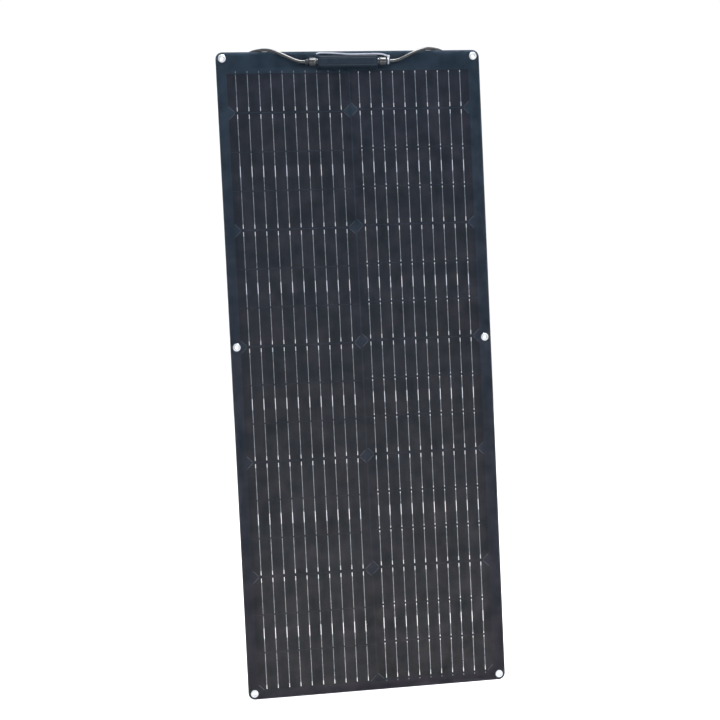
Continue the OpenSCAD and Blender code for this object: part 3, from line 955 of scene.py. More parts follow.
@dataclass
class Laminate:
    """The sheet itself: board, encapsulant, cells, ribbons and film, in segments that span the
    hinges.
    """

    layers: Layers = field(default_factory=Layers)
    half_width: float = 210.0
    top: float = 10.0
    bottom: float = -1018.5
    corner: float = 11.0
    film_inset: float = 0.8
    hole_radius: float = 3.5
    hole_places: tuple[Flat, ...] = ((200.0, 0.0), (200.0, -452.85), (200.0, -1008.5))
    strip_w: float = 191.6
    strip_h: float = 60.5
    strip_gap: float = 0.7
    strip_steps: int = 14
    cell_gap: float = 1.1
    column_gap: float = 2.0
    column_step: float = 2.8
    columns_x: float = -1.4
    cells_top: float = -23.8
    corner_cut: float = 9.0
    paste_w: float = 0.6
    paste: float = 0.004
    ribbon_count: int = 10
    ribbon_pitch: float = 18.2
    ribbon_w: float = 0.9
    ribbon_stub: float = 4.0
    # Half height of a ribbon's slant through a gap, and how much wider a solder pad makes it.
    slant: float = 0.3
    pad_swell: float = 0.18
    bend_reach: float = 36.0
    bend_step: float = 4.5
    # Heights of the three hinges, and of the two lines where the segments meet.
    hinges: Spot = (-267.45, -512.85, -758.05)
    meetings: Flat = (-390.05, -635.45)
    # First row of strips in the middle segment and in the lower one.
    row_ends: tuple[int, int] = (6, 10)
    # Strips are a little bluer or more violet at random, within this range.
    seed: int = 7
    tone_range: Flat = (0.15, 0.85)
    # How far layers stay off or overlap each other, so that no two faces lie in one plane.
    bite: float = 0.02
    rows: int = 16

    def row_top(self, row: int) -> float:
        """Height of a strip's top in the left column.

        Args:
            row: Row of the strip.

        Returns:
            The height.
        """
        whole = (row + 2) // 3
        high = self.cells_top - row * self.strip_h - whole * self.cell_gap
        return high - (row - whole) * self.strip_gap

    def column_x(self, column: int) -> float:
        """Middle of a column."""
        return self.columns_x + (2 * column - 1) * (self.column_gap + self.strip_w) / 2

    def segments(self) -> list[Segment]:
        """The three parts of the sheet.

        Returns:
            The parts from the top down.
        """
        cuts = [self.top + 1, *self.meetings, self.bottom - 1]
        ends, found = [0, *self.row_ends, self.rows], []
        for i, name in enumerate(("upper", "middle", "lower")):
            bands, rows = (i + 1, i + 2), range(ends[i], ends[i + 1])
            bodies = (f"band_{bands[0]}", f"band_{bands[1]}")
            found.append(Segment(name, cuts[i], cuts[i + 1], self.hinges[i], bodies, bands, rows))
        return found

    def layer(
        self, segment: Segment, inset: float, back: float, front: float, rim: int | None,
        face_back: int = 0
    ) -> Shape:
        """One layer of one segment, with its eyelet holes and enough rows of points to bend.

        Args:
            segment: The segment.
            inset: How far the layer stays inside the board's edge.
            back: Depth of its back face.
            front: Depth of its front face.
            rim: Finish of the edge all round, or None for an edge that is left open.
            face_back: Finish of the back face.

        Returns:
            The layer's shape.
        """
        wide = self.half_width - inset
        low, high = (-wide, self.bottom + inset), (wide, self.top - inset)
        loops = [rounded_rectangle(low, high, self.corner - inset, 10)]
        for x, z in self.hole_places:
            if segment.bottom < z < segment.top:
                r, turn = self.hole_radius, circle(40)
                for middle in (-x, x):
                    loops.append([(middle + r * math.cos(a), z + r * math.sin(a)) for a in turn])
        work = bmesh.new()
        spots = [work.verts.new((x, 0, z)) for loop in loops for x, z in loop]
        filled = tessellate_polygon([[Vector((x, z, 0)) for x, z in loop] for loop in loops])
        for triangle in filled:
            work.faces.new([spots[i] for i in triangle])
        cuts = [(segment.top, {"clear_outer": True}), (segment.bottom, {"clear_inner": True})]
        cuts = [cut for cut in cuts if self.bottom < cut[0] < self.top]
        cuts += [(height, {}) for height in segment.levels(self.bend_reach, self.bend_step)]
        for height, drop in cuts:
            every = [*work.verts, *work.edges, *work.faces]
            bmesh.ops.bisect_plane(
                work, geom=every, plane_co=(0, 0, height), plane_no=(0, 0, 1), **drop
            )
        work.verts.index_update()
        flat = [Vector(v.co) for v in work.verts]
        faces = [tuple(v.index for v in f.verts) for f in work.faces]
        rims = [tuple(v.index for v in e.verts) for e in work.edges if len(e.link_faces) == 1]
        work.free()
        count = len(flat)
        shape = Shape()
        shape.points = [Vector((p.x, -y, p.z)) for y in (front, back) for p in flat]
        shape.tones = [0.0] * (2 * count)
        shape.faces = faces + [tuple(count + i for i in f[::-1]) for f in faces]
        shape.slots = [0] * len(faces) + [face_back] * len(faces)
        if rim is not None:
            shape.faces += [(a, b, b + count, a + count) for a, b in rims]
            shape.slots += [rim] * len(rims)
        return shape

    def strip(self, shape: Shape, column: int, row: int, tone: float) -> None:
        """Adds one cell strip, with the cut corners of a whole cell where it has them.

        Args:
            shape: Shape that takes the strip.
            column: 0 for the left column and 1 for the right one.
            row: Row of the strip.
            tone: Tone of the strip.
        """
        x, high = self.column_x(column), self.row_top(row) + column * self.column_step
        low, cut = high - self.strip_h, self.corner_cut
        cut_top, cut_bottom = row % 3 == 1, row % 3 == 0
        steps = self.strip_steps
        levels = {low + self.strip_h * k / steps for k in range(steps + 1)}
        heights = sorted(levels | {low + cut, high - cut})
        rings = []
        for z in heights:
            half = self.strip_w / 2
            if cut_top:
                half -= max(0.0, z - (high - cut))
            if cut_bottom:
                half -= max(0.0, low + cut - z)
            front, back = -self.layers.cell_front, -self.layers.cell_back
            section = oblong((-half, front), (half, back))
            rings.append([Vector((x + a, y, z)) for a, y in section])
        shape.loft(rings, tones=[tone] * len(rings))
        for end, cuts in ((high, cut_top), (low, cut_bottom)):
            inward = -1 if end == high else 1
            for side in (-1, 1) if cuts else ():
                inset, skin = self.strip_w / 2 - cut - 0.8, self.layers.cell_front + self.paste
                a = Vector((x + side * inset, -skin, end + inward * 0.6))
                b = a + Vector((side * (cut - 0.1), 0, inward * (cut - 0.1)))
                wide = Vector((side * inward, 0, -1)).normalized() * self.paste_w / 2
                shape.add([a + wide, b + wide, b - wide, a - wide], [(0, 1, 2, 3)], slot=1)

    def steps(self) -> list[float]:
        """Shares of a ribbon's length for its points, close together where the solder changes.

        Returns:
            The shares, from 0 to 1.
        """
        marks = [0, 0.6, 1.2, 1.9, 2.7, 3.5, 4.4, 6, 7.8, 8.6, 9.4, 14, 19, 20.5, 21.5, 22.5, 26]
        half = [m / self.strip_h for m in marks]
        return [*half, 0.5, *(1 - m for m in half[::-1])]

    def ribbon(self, shape: Shape, column: int, row: int, number: int) -> None:
        """Adds one ribbon: along a strip's front, through the gap and under the next strip.

        Args:
            shape: Shape that takes the ribbon.
            column: 0 for the left column and 1 for the right one.
            row: Row of the strip.
            number: Which ribbon of the strip.
        """
        up = column == 0
        sign = 1.0 if up else -1.0
        shift = column * self.column_step
        x = self.column_x(column) + (number - (self.ribbon_count - 1) / 2) * self.ribbon_pitch
        high = self.row_top(row) + shift
        low = high - self.strip_h
        free, edge = (low + 1, high) if up else (high - 1, low)
        following = row - 1 if up else row + 1
        front = -self.layers.cell_front - self.layers.ribbon / 2
        rear = -self.layers.cell_back + self.layers.ribbon / 2
        if 0 <= following < self.rows:
            other = self.row_top(following) + shift
            gap = other - self.strip_h - edge if up else edge - other
            middle = edge + sign * gap / 2
            path = [
                Vector((x, front, free + (middle - sign * self.slant - free) * share))
                for share in self.steps()
            ]
            path += [
                Vector((x, (front + rear) / 2, middle)), Vector(
                    (x, rear, middle + sign * self.slant)
                )
            ]
            path.append(Vector((x, rear, middle + sign * (self.strip_h - 2))))
        else:
            end = edge + sign * self.ribbon_stub
            path = [Vector((x, front, free + (end - free) * share)) for share in self.steps()]
        tones, widths = [], []
        for point in path:
            tones.append(self.solder(row, high - point.z, up))
            widths.append(1.0 + self.pad_swell * max(tones[-1], 0.0))
        shape.band(
            path, Vector((1, 0, 0)), self.ribbon_w, self.layers.ribbon, tones=tones, widths=widths
        )

    def solder(self, row: int, drop: float, up: bool) -> float:
        """How much fresh solder shows on a ribbon.

        Args:
            row: Row of the strip.
            drop: Distance below the strip's top.
            up: Whether it is the left column.

        Returns:
            1 for a solder pad, 0 for plain ribbon and -1 where it dips into a gap.
        """
        # Pads and dips are given as (middle, half height), in millimetres below the strip's top.
        part, pads, dips = row % 3, [], []
        whole_top, whole_bottom = part == 1, part == 0
        if part == 2:
            pads.append((self.strip_h / 2, 8.5))
        # In the right column the dark dips are longer and small bright pads sit beside the gaps:
        # painted reflection and painted highlight, as light shows its gaps more there.
        for end, whole in ((0.0, whole_top), (self.strip_h, whole_bottom)):
            inward = 1 if end == 0.0 else -1
            dips.append((end, 1.7 if whole else 0.5 if up else 0.9))
            if whole:
                pads.append((end + inward * 5.2, 3.0))
            elif not up:
                pads.append((end + inward * 2.4, 1.1))
        bright = max(
            (1.0 - ease((abs(drop - middle) - half) / 0.8) for middle, half in pads), default=0.0
        )
        dark = max(1.0 - ease((abs(drop - middle) - half) / 0.5) for middle, half in dips)
        return bright - dark - bright * dark

    def build(self) -> None:
        """Builds every layer of every segment and hides the CAD layers it replaces."""
        deep, mix = self.layers, random.Random(self.seed)
        for segment in self.segments():
            board = self.layer(segment, 0.0, 0.0, deep.board, rim=1)
            rear = self.layer(
                segment, self.film_inset, deep.board, deep.cell_back + self.bite, rim=0
            )
            front = self.layer(
                segment, self.film_inset, deep.cell_front + self.bite / 2,
                deep.film_back - self.bite, rim=None
            )
            film = self.layer(
                segment, self.film_inset, deep.film_back, deep.face, rim=None, face_back=1
            )
            cells, ribbons = Shape(), Shape()
            for row in segment.rows:
                for column in (0, 1):
                    self.strip(cells, column, row, mix.uniform(*self.tone_range))
                    for number in range(self.ribbon_count):
                        self.ribbon(ribbons, column, row, number)
            parts = [
                ("board", board, "board", "back_board", (BOARD, BOARD_EDGE)),
                ("rear_layer", rear, "encapsulant", "rear_encapsulant", (BLACK_REAR,)),
                ("cell_strips", cells, "cell", "cells", (CELL, PASTE)),
                ("ribbon_lines", ribbons, "ribbon", "ribbons", (RIBBON,)),
                ("clear_layer", front, "encapsulant", "front_encapsulant", (CLEAR,)),
                ("film", film, "film", "front_film", (FILM, CLEAR)),
            ]
            for name, shape, slot, node, finishes in parts:
                piece = shape.make(f"{name}_{segment.name}", *finishes)
                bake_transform(piece)
                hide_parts(*(f"{node}_{band}" for band in segment.bands))
                LOG.info("%s bends between %s and %s", piece.name, *segment.bodies)


@dataclass
class Eyelets:
    """Six pressed eyelets with a domed flange in front, and a washer and rolled edge behind."""

    face: float = 2.5
    x: float = 200.0
    hole: float = 3.0
    barrel: float = 3.5
    flange: float = 6.0
    proud: float = 0.8
    washer: float = 0.8
    roll: float = 4.6
    places: tuple[tuple[str, float, str], ...] = (
        ("top", 0.0, "band_1"),
        ("middle", -452.85, "band_2"),
        ("bottom", -1008.5, "band_4"),
    )

    def eyelet(self, shape: Shape, axis: Axis) -> None:
        """Adds one eyelet.

        Args:
            shape: Shape that takes it.
            axis: Its line, from the back plane towards the back.
        """
        front = -self.face - self.proud
        dome = [
            (self.hole, front + 0.55), (self.hole + 0.12, front + 0.2),
            (self.hole + 0.5, front + 0.02), (self.hole + 1.1, front),
            (self.hole + 1.8, front + 0.06), (self.flange - 0.7, front + 0.2),
            (self.flange - 0.25, front + 0.38), (self.flange, front + 0.62),
            (self.flange, -self.face),
        ]
        roll = [
            (self.barrel, -self.face), (self.barrel, self.washer), (self.roll, self.washer),
            (self.roll, 1.05), (self.roll - 0.3, 1.25), (self.roll - 0.8, 1.3),
            (self.hole + 0.3, 1.1), (self.hole, 0.7),
        ]
        shape.turned(axis, [*dome, *roll], 72)

    def ring(self, shape: Shape, axis: Axis) -> None:
        """Adds one washer.

        Args:
            shape: Shape that takes it.
            axis: Its line.
        """
        outline = oblong((self.barrel, 0.0), (self.flange + 0.5, self.washer))
        shape.turned(axis, eased(outline, 0.22), 72)

    def build(self) -> None:
        """Builds the three pairs."""
        for name, z, body in self.places:
            metal, rings = Shape(), Shape()
            for side in (-1, 1):
                axis = Axis((side * self.x, 0.0, z), (0.0, 1.0, 0.0))
                self.eyelet(metal, axis)
                self.ring(rings, axis)
            fit(metal.make(f"eyelet_pair_{name}", EYELET), body, "eyelet", f"eyelets_{name}")
            fit(rings.make(f"washer_pair_{name}", WASHER), body, "washer", f"washers_{name}")


@dataclass
class JunctionBox:
    """Long low box: an open base, a gasket and a lid that lifts off forwards."""

    middle: Flat = (-3.0, -10.5)
    length: float = 95.0
    height: float = 16.8
    wall: float = 1.6
    corner: float = 2.0
    back: float = 3.0
    base_depth: float = 11.0
    gasket: float = 0.8
    lid_depth: float = 3.7
    chamfer: float = 1.2
    lip_depth: float = 2.0
    end_room: float = 4.1
    lip_room: float = 1.85

    def ring(self, inset: float, depth: float, end_inset: float | None = None) -> list[Vector]:
        """Outline of the box at one depth.

        Args:
            inset: How far it lies inside the box's outline.
            depth: Depth from the back plane.
            end_inset: Inset at the two ends, if that differs.

        Returns:
            The outline's points.
        """
        ends = inset if end_inset is None else end_inset
        half = self.length / 2 - ends, self.height / 2 - inset
        low = self.middle[0] - half[0], self.middle[1] - half[1]
        high = self.middle[0] + half[0], self.middle[1] + half[1]
        outline = rounded_rectangle(low, high, max(self.corner - inset, 0.5), 6)
        return [Vector((x, -depth, z)) for x, z in outline]

    def build_base(self) -> None:
        """Builds the base as an open tray with soft outer edges and a step for the gasket."""
        rim = self.back + self.base_depth
        floor = self.back + self.wall
        rings = [
            self.ring(0.9, self.back), self.ring(0.25, self.back + 0.12),
            self.ring(0.0, self.back + 0.5), self.ring(0.0, rim - 0.3), self.ring(0.08, rim - 0.08),
            self.ring(0.3, rim), self.ring(self.wall - 0.2, rim), self.ring(self.wall, rim - 0.2),
            self.ring(self.wall, floor + 0.6), self.ring(self.wall + 0.6, floor),
        ]
        shape = Shape()
        shape.loft(rings)
        fit(shape.make("box_tray", BOX), "band_1", "box", "box_base")

    def build_lid(self) -> None:
        """Builds the lid: a shallow tray with chamfers, a sunk panel line and an inner lip."""
        rim = self.back + self.base_depth + self.gasket
        face = rim + self.lid_depth
        lip = rim - self.gasket - self.lip_depth
        cut, thin = self.chamfer, 1.0
        rings = [
            self.ring(self.lip_room + thin, face - self.wall - 0.3, self.end_room + thin),
            self.ring(self.lip_room + thin, lip + 0.1, self.end_room + thin),
            self.ring(self.lip_room + thin - 0.15, lip, self.end_room + thin - 0.15),
            self.ring(self.lip_room + 0.2, lip, self.end_room + 0.2),
            self.ring(self.lip_room, lip + 0.25, self.end_room),
            self.ring(self.lip_room, rim, self.end_room), self.ring(0.25, rim),
            self.ring(0.04, rim + 0.08), self.ring(0.0, rim + 0.3),
            self.ring(0.0, face - cut - 0.25), self.ring(0.1, face - cut * 0.75),
            self.ring(0.35, face - cut * 0.45), self.ring(0.75, face - cut * 0.17),
            self.ring(1.3, face - 0.03), self.ring(1.9, face), self.ring(2.6, face),
            self.ring(2.8, face - 0.14), self.ring(3.1, face - 0.14), self.ring(3.3, face),
            self.ring(5.0, face),
        ]
        shape = Shape()
        shape.loft(rings)
        fit(shape.make("box_cover", BOX, crease=38.0), "lid", "box", "box_lid")

    def build(self) -> None:
        """Builds the box and dresses what lies inside and under it."""
        self.build_base()
        self.build_lid()
        dress("box_gasket", SEAL)
        dress("box_bond", BOND)
        for node in ("terminal_left", "terminal_right"):
            dress(node, TERMINAL)
        dress("bypass_diode", DIODE)
        for node in ("bus_ribbons_top", "bus_ribbon_bottom"):
            dress(node, BUS)


def knurled(radius: float, rib: float, count: int, start: float, end: float) -> Swell:
    """Grip ribs round a nut, which fade out at both ends.

    Args:
        radius: Radius between the ribs.
        rib: Height of a rib.
        count: Number of ribs.
        start: Where the ribs start along the axis.
        end: Where they end.

    Returns:
        A function that gives the radius from radius, distance and angle.
    """

    def swell(r: float, s: float, angle: float) -> float:
        """Radius with ribs at one point.

        Args:
            r: Radius without ribs.
            s: Distance along the axis.
            angle: Angle round it.

        Returns:
            The radius.
        """
        if r < radius - 0.45:
            return r
        ridge = ease(0.5 + 1.15 * math.cos(count * angle))
        fade = ease((s - start) / 0.9) * ease((end - s) / 0.9)
        return r + rib * ridge * fade

    return swell


@dataclass
class Gland:
    """Cable gland at one end of the box: collar and thread, ribbed cap nut and rubber seal."""

    side: Side
    end: float = 47.5
    box_x: float = -3.0
    depth: float = 9.1
    z: float = -8.5
    thread: float = 3.5
    bore: float = 2.8
    collar: float = 5.0
    nut_radius: float = 5.2
    rib: float = 0.5
    ribs: int = 14
    nut_start: float = 2.3
    nut_end: float = 15.0
    mouth: float = 20.0
    cable: float = 2.5
    stub_start: float = -3.6
    stub_end: float = 10.0
    cap_hole: float = 3.3

    @property
    def axis(self) -> Axis:
        """The gland's line, from the box's end outwards."""
        return Axis(
            (self.box_x + self.side.value * self.end, -self.depth, self.z),
            (float(self.side.value), 0.0, 0.0)
        )

    def build_body(self) -> None:
        """Builds the collar and the threaded stub."""
        shape = Shape()
        thread = []
        for k in range(7):
            s = 3.0 + k
            thread += [(self.thread, s), (self.thread - 0.35, s + 0.5)]
        flange = [
            (self.thread, self.stub_start), (self.thread, 0.0), (self.collar - 0.35, 0.0),
            (self.collar, 0.35)
        ]
        flange += [(self.collar, 1.55), (self.collar - 0.4, 2.0), (self.thread, 2.0)]
        end = [
            (self.thread, self.stub_end), (self.bore, self.stub_end), (self.bore, self.stub_start)
        ]
        shape.turned(self.axis, [*flange, *thread, *end], 64)
        label = f"gland_body_{self.side.label}"
        fit(shape.make(f"{label}_moulding", NUT), "band_1", "nut", label)

    def build_nut(self) -> None:
        """Builds the cap nut, which turns."""
        shape = Shape()
        r, a, b = self.nut_radius, self.nut_start, self.nut_end
        along = [(r, a + 1.0 + (b - a - 3.4) * k / 5) for k in range(6)]
        outside = [
            (r - 0.35, a), (r - 0.08, a + 0.2), *along, (r - 0.25, b - 1.7), (r - 0.75, b - 0.9),
            (r - 1.3, b - 0.35)
        ]
        inside = [(r - 1.75, b), (self.cap_hole, b), (self.cap_hole, b - 2.0)]
        inside += [(self.thread + 0.3, b - 2.0), (self.thread + 0.3, a)]
        shape.turned(
            self.axis, [*outside, *inside], 168, knurled(r, self.rib, self.ribs, a + 0.4, b - 1.2)
        )
        label = f"gland_nut_{self.side.label}"
        fit(shape.make(f"{label}_cap", NUT), label, "nut", label)

    def build_seal(self) -> None:
        """Builds the rubber seal, stepped and tapered where it grips the cable."""
        shape = Shape()
        grip, b = self.nut_end + 0.3, self.nut_end
        profile = [
            (self.cable, self.stub_end), (self.thread, self.stub_end), (self.thread, b - 2.3),
            (3.0, b - 2.3), (3.0, grip), (3.8, grip), (4.0, grip + 0.2), (4.0, grip + 2.9),
            (3.85, grip + 3.15), (3.4, grip + 3.7), (3.15, self.mouth - 0.4),
            (2.9, self.mouth - 0.1), (self.cable + 0.1, self.mouth), (self.cable, self.mouth - 0.2),
        ]
        shape.turned(self.axis, profile, 64)
        label = f"gland_seal_{self.side.label}"
        fit(shape.make(f"{label}_rubber", SEAL), "band_1", "seal", label)

    def build(self) -> None:
        """Builds the gland."""
        self.build_body()
        self.build_nut()
        self.build_seal()


@dataclass
class MarkerTie:
    """Cable tie round the right gland, whose uncut tail runs back along the top of the box."""

    head_middle: Spot = (62.0, -9.1, -1.8)
    ring_axis: Axis = Axis((61.3, -9.1, -8.5), (1.0, 0.0, 0.0))
    ring: Flat = (4.0, 5.0)
    width: float = 2.5
    head: float = 4.4
    thickness: float = 1.0
    turn: float = -3.0
    tail: tuple[Flat, ...] = (
        (0.0, 0.0), (-5.0, 2.8), (-11.0, 4.4), (-22.0, 5.0), (-60.0, 5.4), (-74.0, 6.6),
        (-88.0, 7.8), (-108.0, 8.8), (-114.0, 7.0),
    )

    def build(self) -> None:
        """Builds the tie's ring, head and tail as one moulding."""
        shape = Shape()
        half = self.width / 2
        outline = oblong((self.ring[0], -half), (self.ring[1], half))
        shape.turned(self.ring_axis, eased(outline, 0.3), 64)
        middle, size = Vector(self.head_middle), self.head / 2
        outline = eased(oblong((-size, -size), (size, size)), 0.7)
        heights = [
            (-size, 0.8), (-size + 0.25, 0.95), (-size + 0.7, 1.0), (size - 0.7, 1.0),
            (size - 0.25, 0.95), (size, 0.8)
        ]
        shape.loft([[middle + Vector((x * s, y * s, h)) for x, y in outline] for h, s in heights])
        bend = Matrix.Rotation(math.radians(self.turn), 3, "Z")
        route = smooth_route([Vector((a, 0.0, b)) for a, b in self.tail], 6)
        path = [middle + bend @ p for p in route]
        across = (bend @ Vector((0, 1, 0))).normalized()
        shape.band(path, across, self.thickness, self.width, round_edge=0.28)
        fit(shape.make("marker_tie", TIE), "band_1", "tie", "cable_tie")


@dataclass
class Connector:
    """Connector on the end of a lead: ribbed cap nut, waisted body, and a nose or a shroud."""

    side: Side
    axis: Axis
    nut_length: float = 16.0
    radius: float = 7.8
    rib: float = 0.5
    ribs: int = 16
    thread: float = 6.0
    body_end: float = 40.0
    mate_end: float = 60.0
    nose: float = 5.4
    bore: float = 5.6
    contact: float = 2.1
    root: float = 2.0
    cord_hole: float = 2.8
    # Spring arm as (distance along the axis, inner radius, outer radius), with its hook.
    arm: tuple[Spot, ...] = (
        (38.5, 6.0, 7.6), (44, 6.1, 7.4), (51, 6.4, 7.4), (53, 6.4, 8.2), (54, 6.4, 8.2),
        (56.5, 6.4, 7.0),
    )

    def build_nut(self) -> Piece:
        """Builds the cap nut.

        Returns:
            The nut.
        """
        shape = Shape()
        r, b = self.radius, self.nut_length
        along = [(r, 3.4 + (b - 4.6) * k / 5) for k in range(6)]
        outside = [
            (4.2, 0.0), (4.9, 0.2), (6.1, 1.3), (7.0, 2.2), (7.55, 2.8), *along, (r - 0.1, b - 0.3),
            (r - 0.4, b)
        ]
        inside = [
            (self.thread + 0.3, b), (self.thread + 0.3, 2.5), (3.3, 2.5), (3.3, 0.3), (3.6, 0.0)
        ]
        shape.turned(
            self.axis, [*outside, *inside], 192, knurled(r, self.rib, self.ribs, 2.9, b - 0.5)
        )
        label = f"connector_nut_{self.side.label}"
        return fit(shape.make(f"{label}_cap", NUT), label, "nut", label)

    def latch(self, shape: Shape, angle: float) -> None:
        """Adds one spring arm beside the nose, with its hook.

        Args:
            shape: Shape that takes it.
            angle: Place round the axis.
        """
        turn, rings = 0.26, []
        for s, inner, outer in self.arm:
            corners = oblong((inner, -turn), (outer, turn))
            rings.append([self.axis.point(r, angle + a, s) for r, a in corners])
        shape.loft(rings)

    def build_body(self) -> Piece:
        """Builds the body.

        Returns:
            The body.
        """
        shape, r, end, mate = Shape(), self.radius, self.body_end, self.mate_end
        start = self.nut_length + 0.3
        outside = [
            (self.thread, 6.0), (self.thread, start), (r - 0.3, start), (r, start + 0.3),
            (r, start + 2.2)
        ]
        for k in range(5):
            s = start + 3.2 + 2.6 * k
            outside += [(r - 0.7, s), (r - 0.7, s + 1.0), (r - 0.15, s + 1.4), (r - 0.15, s + 2.0)]
        outside += [
            (r, end - 4.6), (r, end - 3.4), (r + 0.6, end - 2.9), (r + 0.8, end - 2.5),
            (r + 0.8, end - 0.5), (r + 0.5, end)
        ]
        if self.side is Side.LEFT:
            outside += [
                (self.nose + 0.5, end), (self.nose, end + 0.5), (self.nose, end + 4.0),
                (self.nose - 0.7, end + 4.3), (self.nose - 0.7, end + 6.0), (self.nose, end + 6.3),
                (self.nose, mate - 0.9), (self.nose - 0.7, mate),
            ]
            inside = [
                (self.contact + 0.4, mate), (self.contact, mate - 0.5), (self.contact, end - 8.0),
                (self.cord_hole, end - 8.1)
            ]
        else:
            outside += [
                (r, end + 0.1), (r, end + 8.0), (r - 0.35, end + 8.4), (r - 0.35, mate - 0.6),
                (r - 0.8, mate)
            ]
            inside = [
                (self.bore + 0.4, mate), (self.bore, mate - 0.5), (self.bore, end),
                (self.root, end), (self.root, end - 8.0)
            ]
            inside.append((self.cord_hole, end - 8.1))
        shape.turned(self.axis, [*outside, *inside, (self.cord_hole, 6.0)], 96)
        if self.side is Side.LEFT:
            for angle in (0.0, math.pi):
                self.latch(shape, angle)
        label = f"connector_body_{self.side.label}"
        return fit(shape.make(f"{label}_moulding", NUT), "band_1", "nut", label)

    def build(self) -> list[Piece]:
        """Builds the connector.

        Returns:
            Its pieces, the contact's CAD node among them.
        """
        contact = f"connector_contact_{self.side.label}"
        dress(contact, CONTACT)
        return [self.build_nut(), self.build_body(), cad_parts[contact]]


@dataclass
class Lead:
    """One lead: from its gland over the top edge, into a tied coil and down to its connector."""

    side: Side
    diameter: float = 5.0
    box_x: float = -3.0
    mouth: float = 67.5
    depth: float = 9.1
    z: float = -8.5
    coil_middle: Spot = (82.5, 15.3, -50.0)
    start: float = -20.0
    tie_width: float = 4.0
    tie_half: float = 5.5
    tie_rise: float = 27.5
    coil_step: float = 15.0
    nut_place: Spot = (112.5, 20, -96)
    # Route to the coil as (outwards, back, up) from the gland's mouth.
    over: tuple[Spot, ...] = (
        (0, 0, 0), (8, 0, 0.4), (16, -0.4, 2.5), (24, -0.6, 5.9), (32, -0.4, 9.9), (40, 0.3, 13.7),
        (48, 1.6, 17.1), (56, 3.6, 19.6), (64, 6.2, 20.9), (72, 9.2, 20.98), (80, 12.2, 20.2),
        (87.5, 14.2, 17.6), (94.5, 15, 13.1), (100.5, 14.8, 7), (105.5, 14, -0.2),
        (109, 13.3, -8.6), (111, 12.9, -17.6), (112, 12.8, -27.6), (112.5, 12.8, -38.6),
    )
    # Turns of the coil as (degrees turned, radius, back), with the crossings where a turn changes
    # its lane.
    turns: tuple[Spot, ...] = (
        (0, 30, 12.8), (300, 30, 12.8), (330, 27.3, 12.8), (360, 25, 12.8), (650, 25, 12.8),
        (690, 23, 15.3), (725, 25, 17.8), (1010, 25, 17.8), (1080, 27.5, 17.8), (1140, 30, 17.8),
        (1380, 30.3, 17.8), (1410, 31.8, 18.3), (1440, 31.8, 19.8),
    )
    # Route from the coil into the connector.
    down: tuple[Spot, ...] = (
        (114.6, 20.4, -58), (114.6, 20.8, -66), (114, 20.8, -75), (113, 20.3, -85),
        (112.5, 20, -94), (112.5, 20, -108),
    )

    def place(self, out: float, back: float, up: float) -> Vector:
        """A point given from the gland's mouth."""
        return Vector(
            (self.box_x + self.side.value * (self.mouth + out), -self.depth + back, self.z + up)
        )

    def coil_points(self) -> list[Vector]:
        """Points round the coil, 24 to a turn.

        Returns:
            The points, from where the lead comes in to where it leaves.
        """
        found = []
        for step in range(int(self.turns[-1][0] / self.coil_step) + 1):
            angle = self.coil_step * step
            number = next(i for i in range(1, len(self.turns)) if angle <= self.turns[i][0])
            (a, r_a, y_a), (b, r_b, y_b) = self.turns[number - 1], self.turns[number]
            share = ease((angle - a) / (b - a))
            r, y = r_a + (r_b - r_a) * share, y_a + (y_b - y_a) * share
            turn, (x, _, z) = -math.radians(angle), self.coil_middle
            found.append(self.place(x + r * math.cos(turn), y, z + r * math.sin(turn)))
        return found

    def route(self) -> list[Vector]:
        """The whole route from inside the gland to inside the connector.

        Returns:
            Points close together on the route.
        """
        points = [self.place(self.start, 0, 0), self.place(self.start / 2, 0, 0)]
        points += [self.place(*p) for p in self.over]
        points += self.coil_points()
        points += [self.place(*p) for p in self.down]
        return smooth_route(points, 4)

    def build_cable(self) -> tuple[Piece, float]:
        """Builds the cable as one curve.

        Returns:
            The cable and its length in millimetres.
        """
        route = self.route()
        length = sum((b - a).length for a, b in zip(route, route[1:]))
        data = bpy.data.curves.new(f"cable_{self.side.label}", "CURVE")
        data.dimensions = "3D"
        data.bevel_depth = self.diameter / 2 * MM
        data.bevel_resolution = 7
        data.use_fill_caps = True
        spline = data.splines.new("POLY")
        spline.points.add(len(route) - 1)
        for spot, point in zip(spline.points, route):
            spot.co = (*(point * MM), 1.0)
        spline.use_smooth = True
        data.materials.append(CABLE.material())
        cable, label = put(data.name, data), self.side.label
        return fit(cable, "band_1", "cable", f"cord_{label}", f"coil_{label}"), length

    def build_coil_tie(self) -> Piece:
        """Builds the small tie round the coil, with its head and cut tail at the back.

        Returns:
            The tie.
        """
        shape, half = Shape(), self.tie_half
        x, y, z = self.coil_middle
        middle = self.place(x, y, z + self.tie_rise)
        loop = rounded_rectangle((-half, -half), (half, half), 3.2, 6)
        across = Vector((1, 0, 0))
        path = [middle + Vector((0, a, b)) for a, b in loop]
        shape.band(path, across, self.tie_width, 1.0, closed=True, round_edge=0.3)
        head = eased(oblong((-3.0, -2.4), (3.0, 2.4)), 0.8)
        foot = middle + Vector((0, half + 0.2, 0))
        heights = [(0.0, 0.9), (0.4, 1.0), (2.6, 1.0), (3.0, 0.95), (3.3, 0.8)]
        shape.loft([[foot + Vector((x * s, h, z * s)) for x, z in head] for h, s in heights])
        tail = [
            foot + Vector((0, 1.6, 2.2)), foot + Vector((0, 1.8, 4.5)), foot + Vector((0, 2.6, 7.0))
        ]
        shape.band(tail, across, self.tie_width * 0.8, 1.0, round_edge=0.3)
        label = f"coil_tie_{self.side.label}"
        return fit(shape.make(f"{label}_strap", TIE), "band_1", "tie", label)

    def build(self) -> None:
        cable, length = self.build_cable()
        tie = self.build_coil_tie()
        connector = Connector(self.side, Axis(tuple(self.place(*self.nut_place)), (0.0, 0.0, -1.0)))
        pieces = [tie, *connector.build()]
        LOG.info("%s is %.0f mm long", cable.name, length)


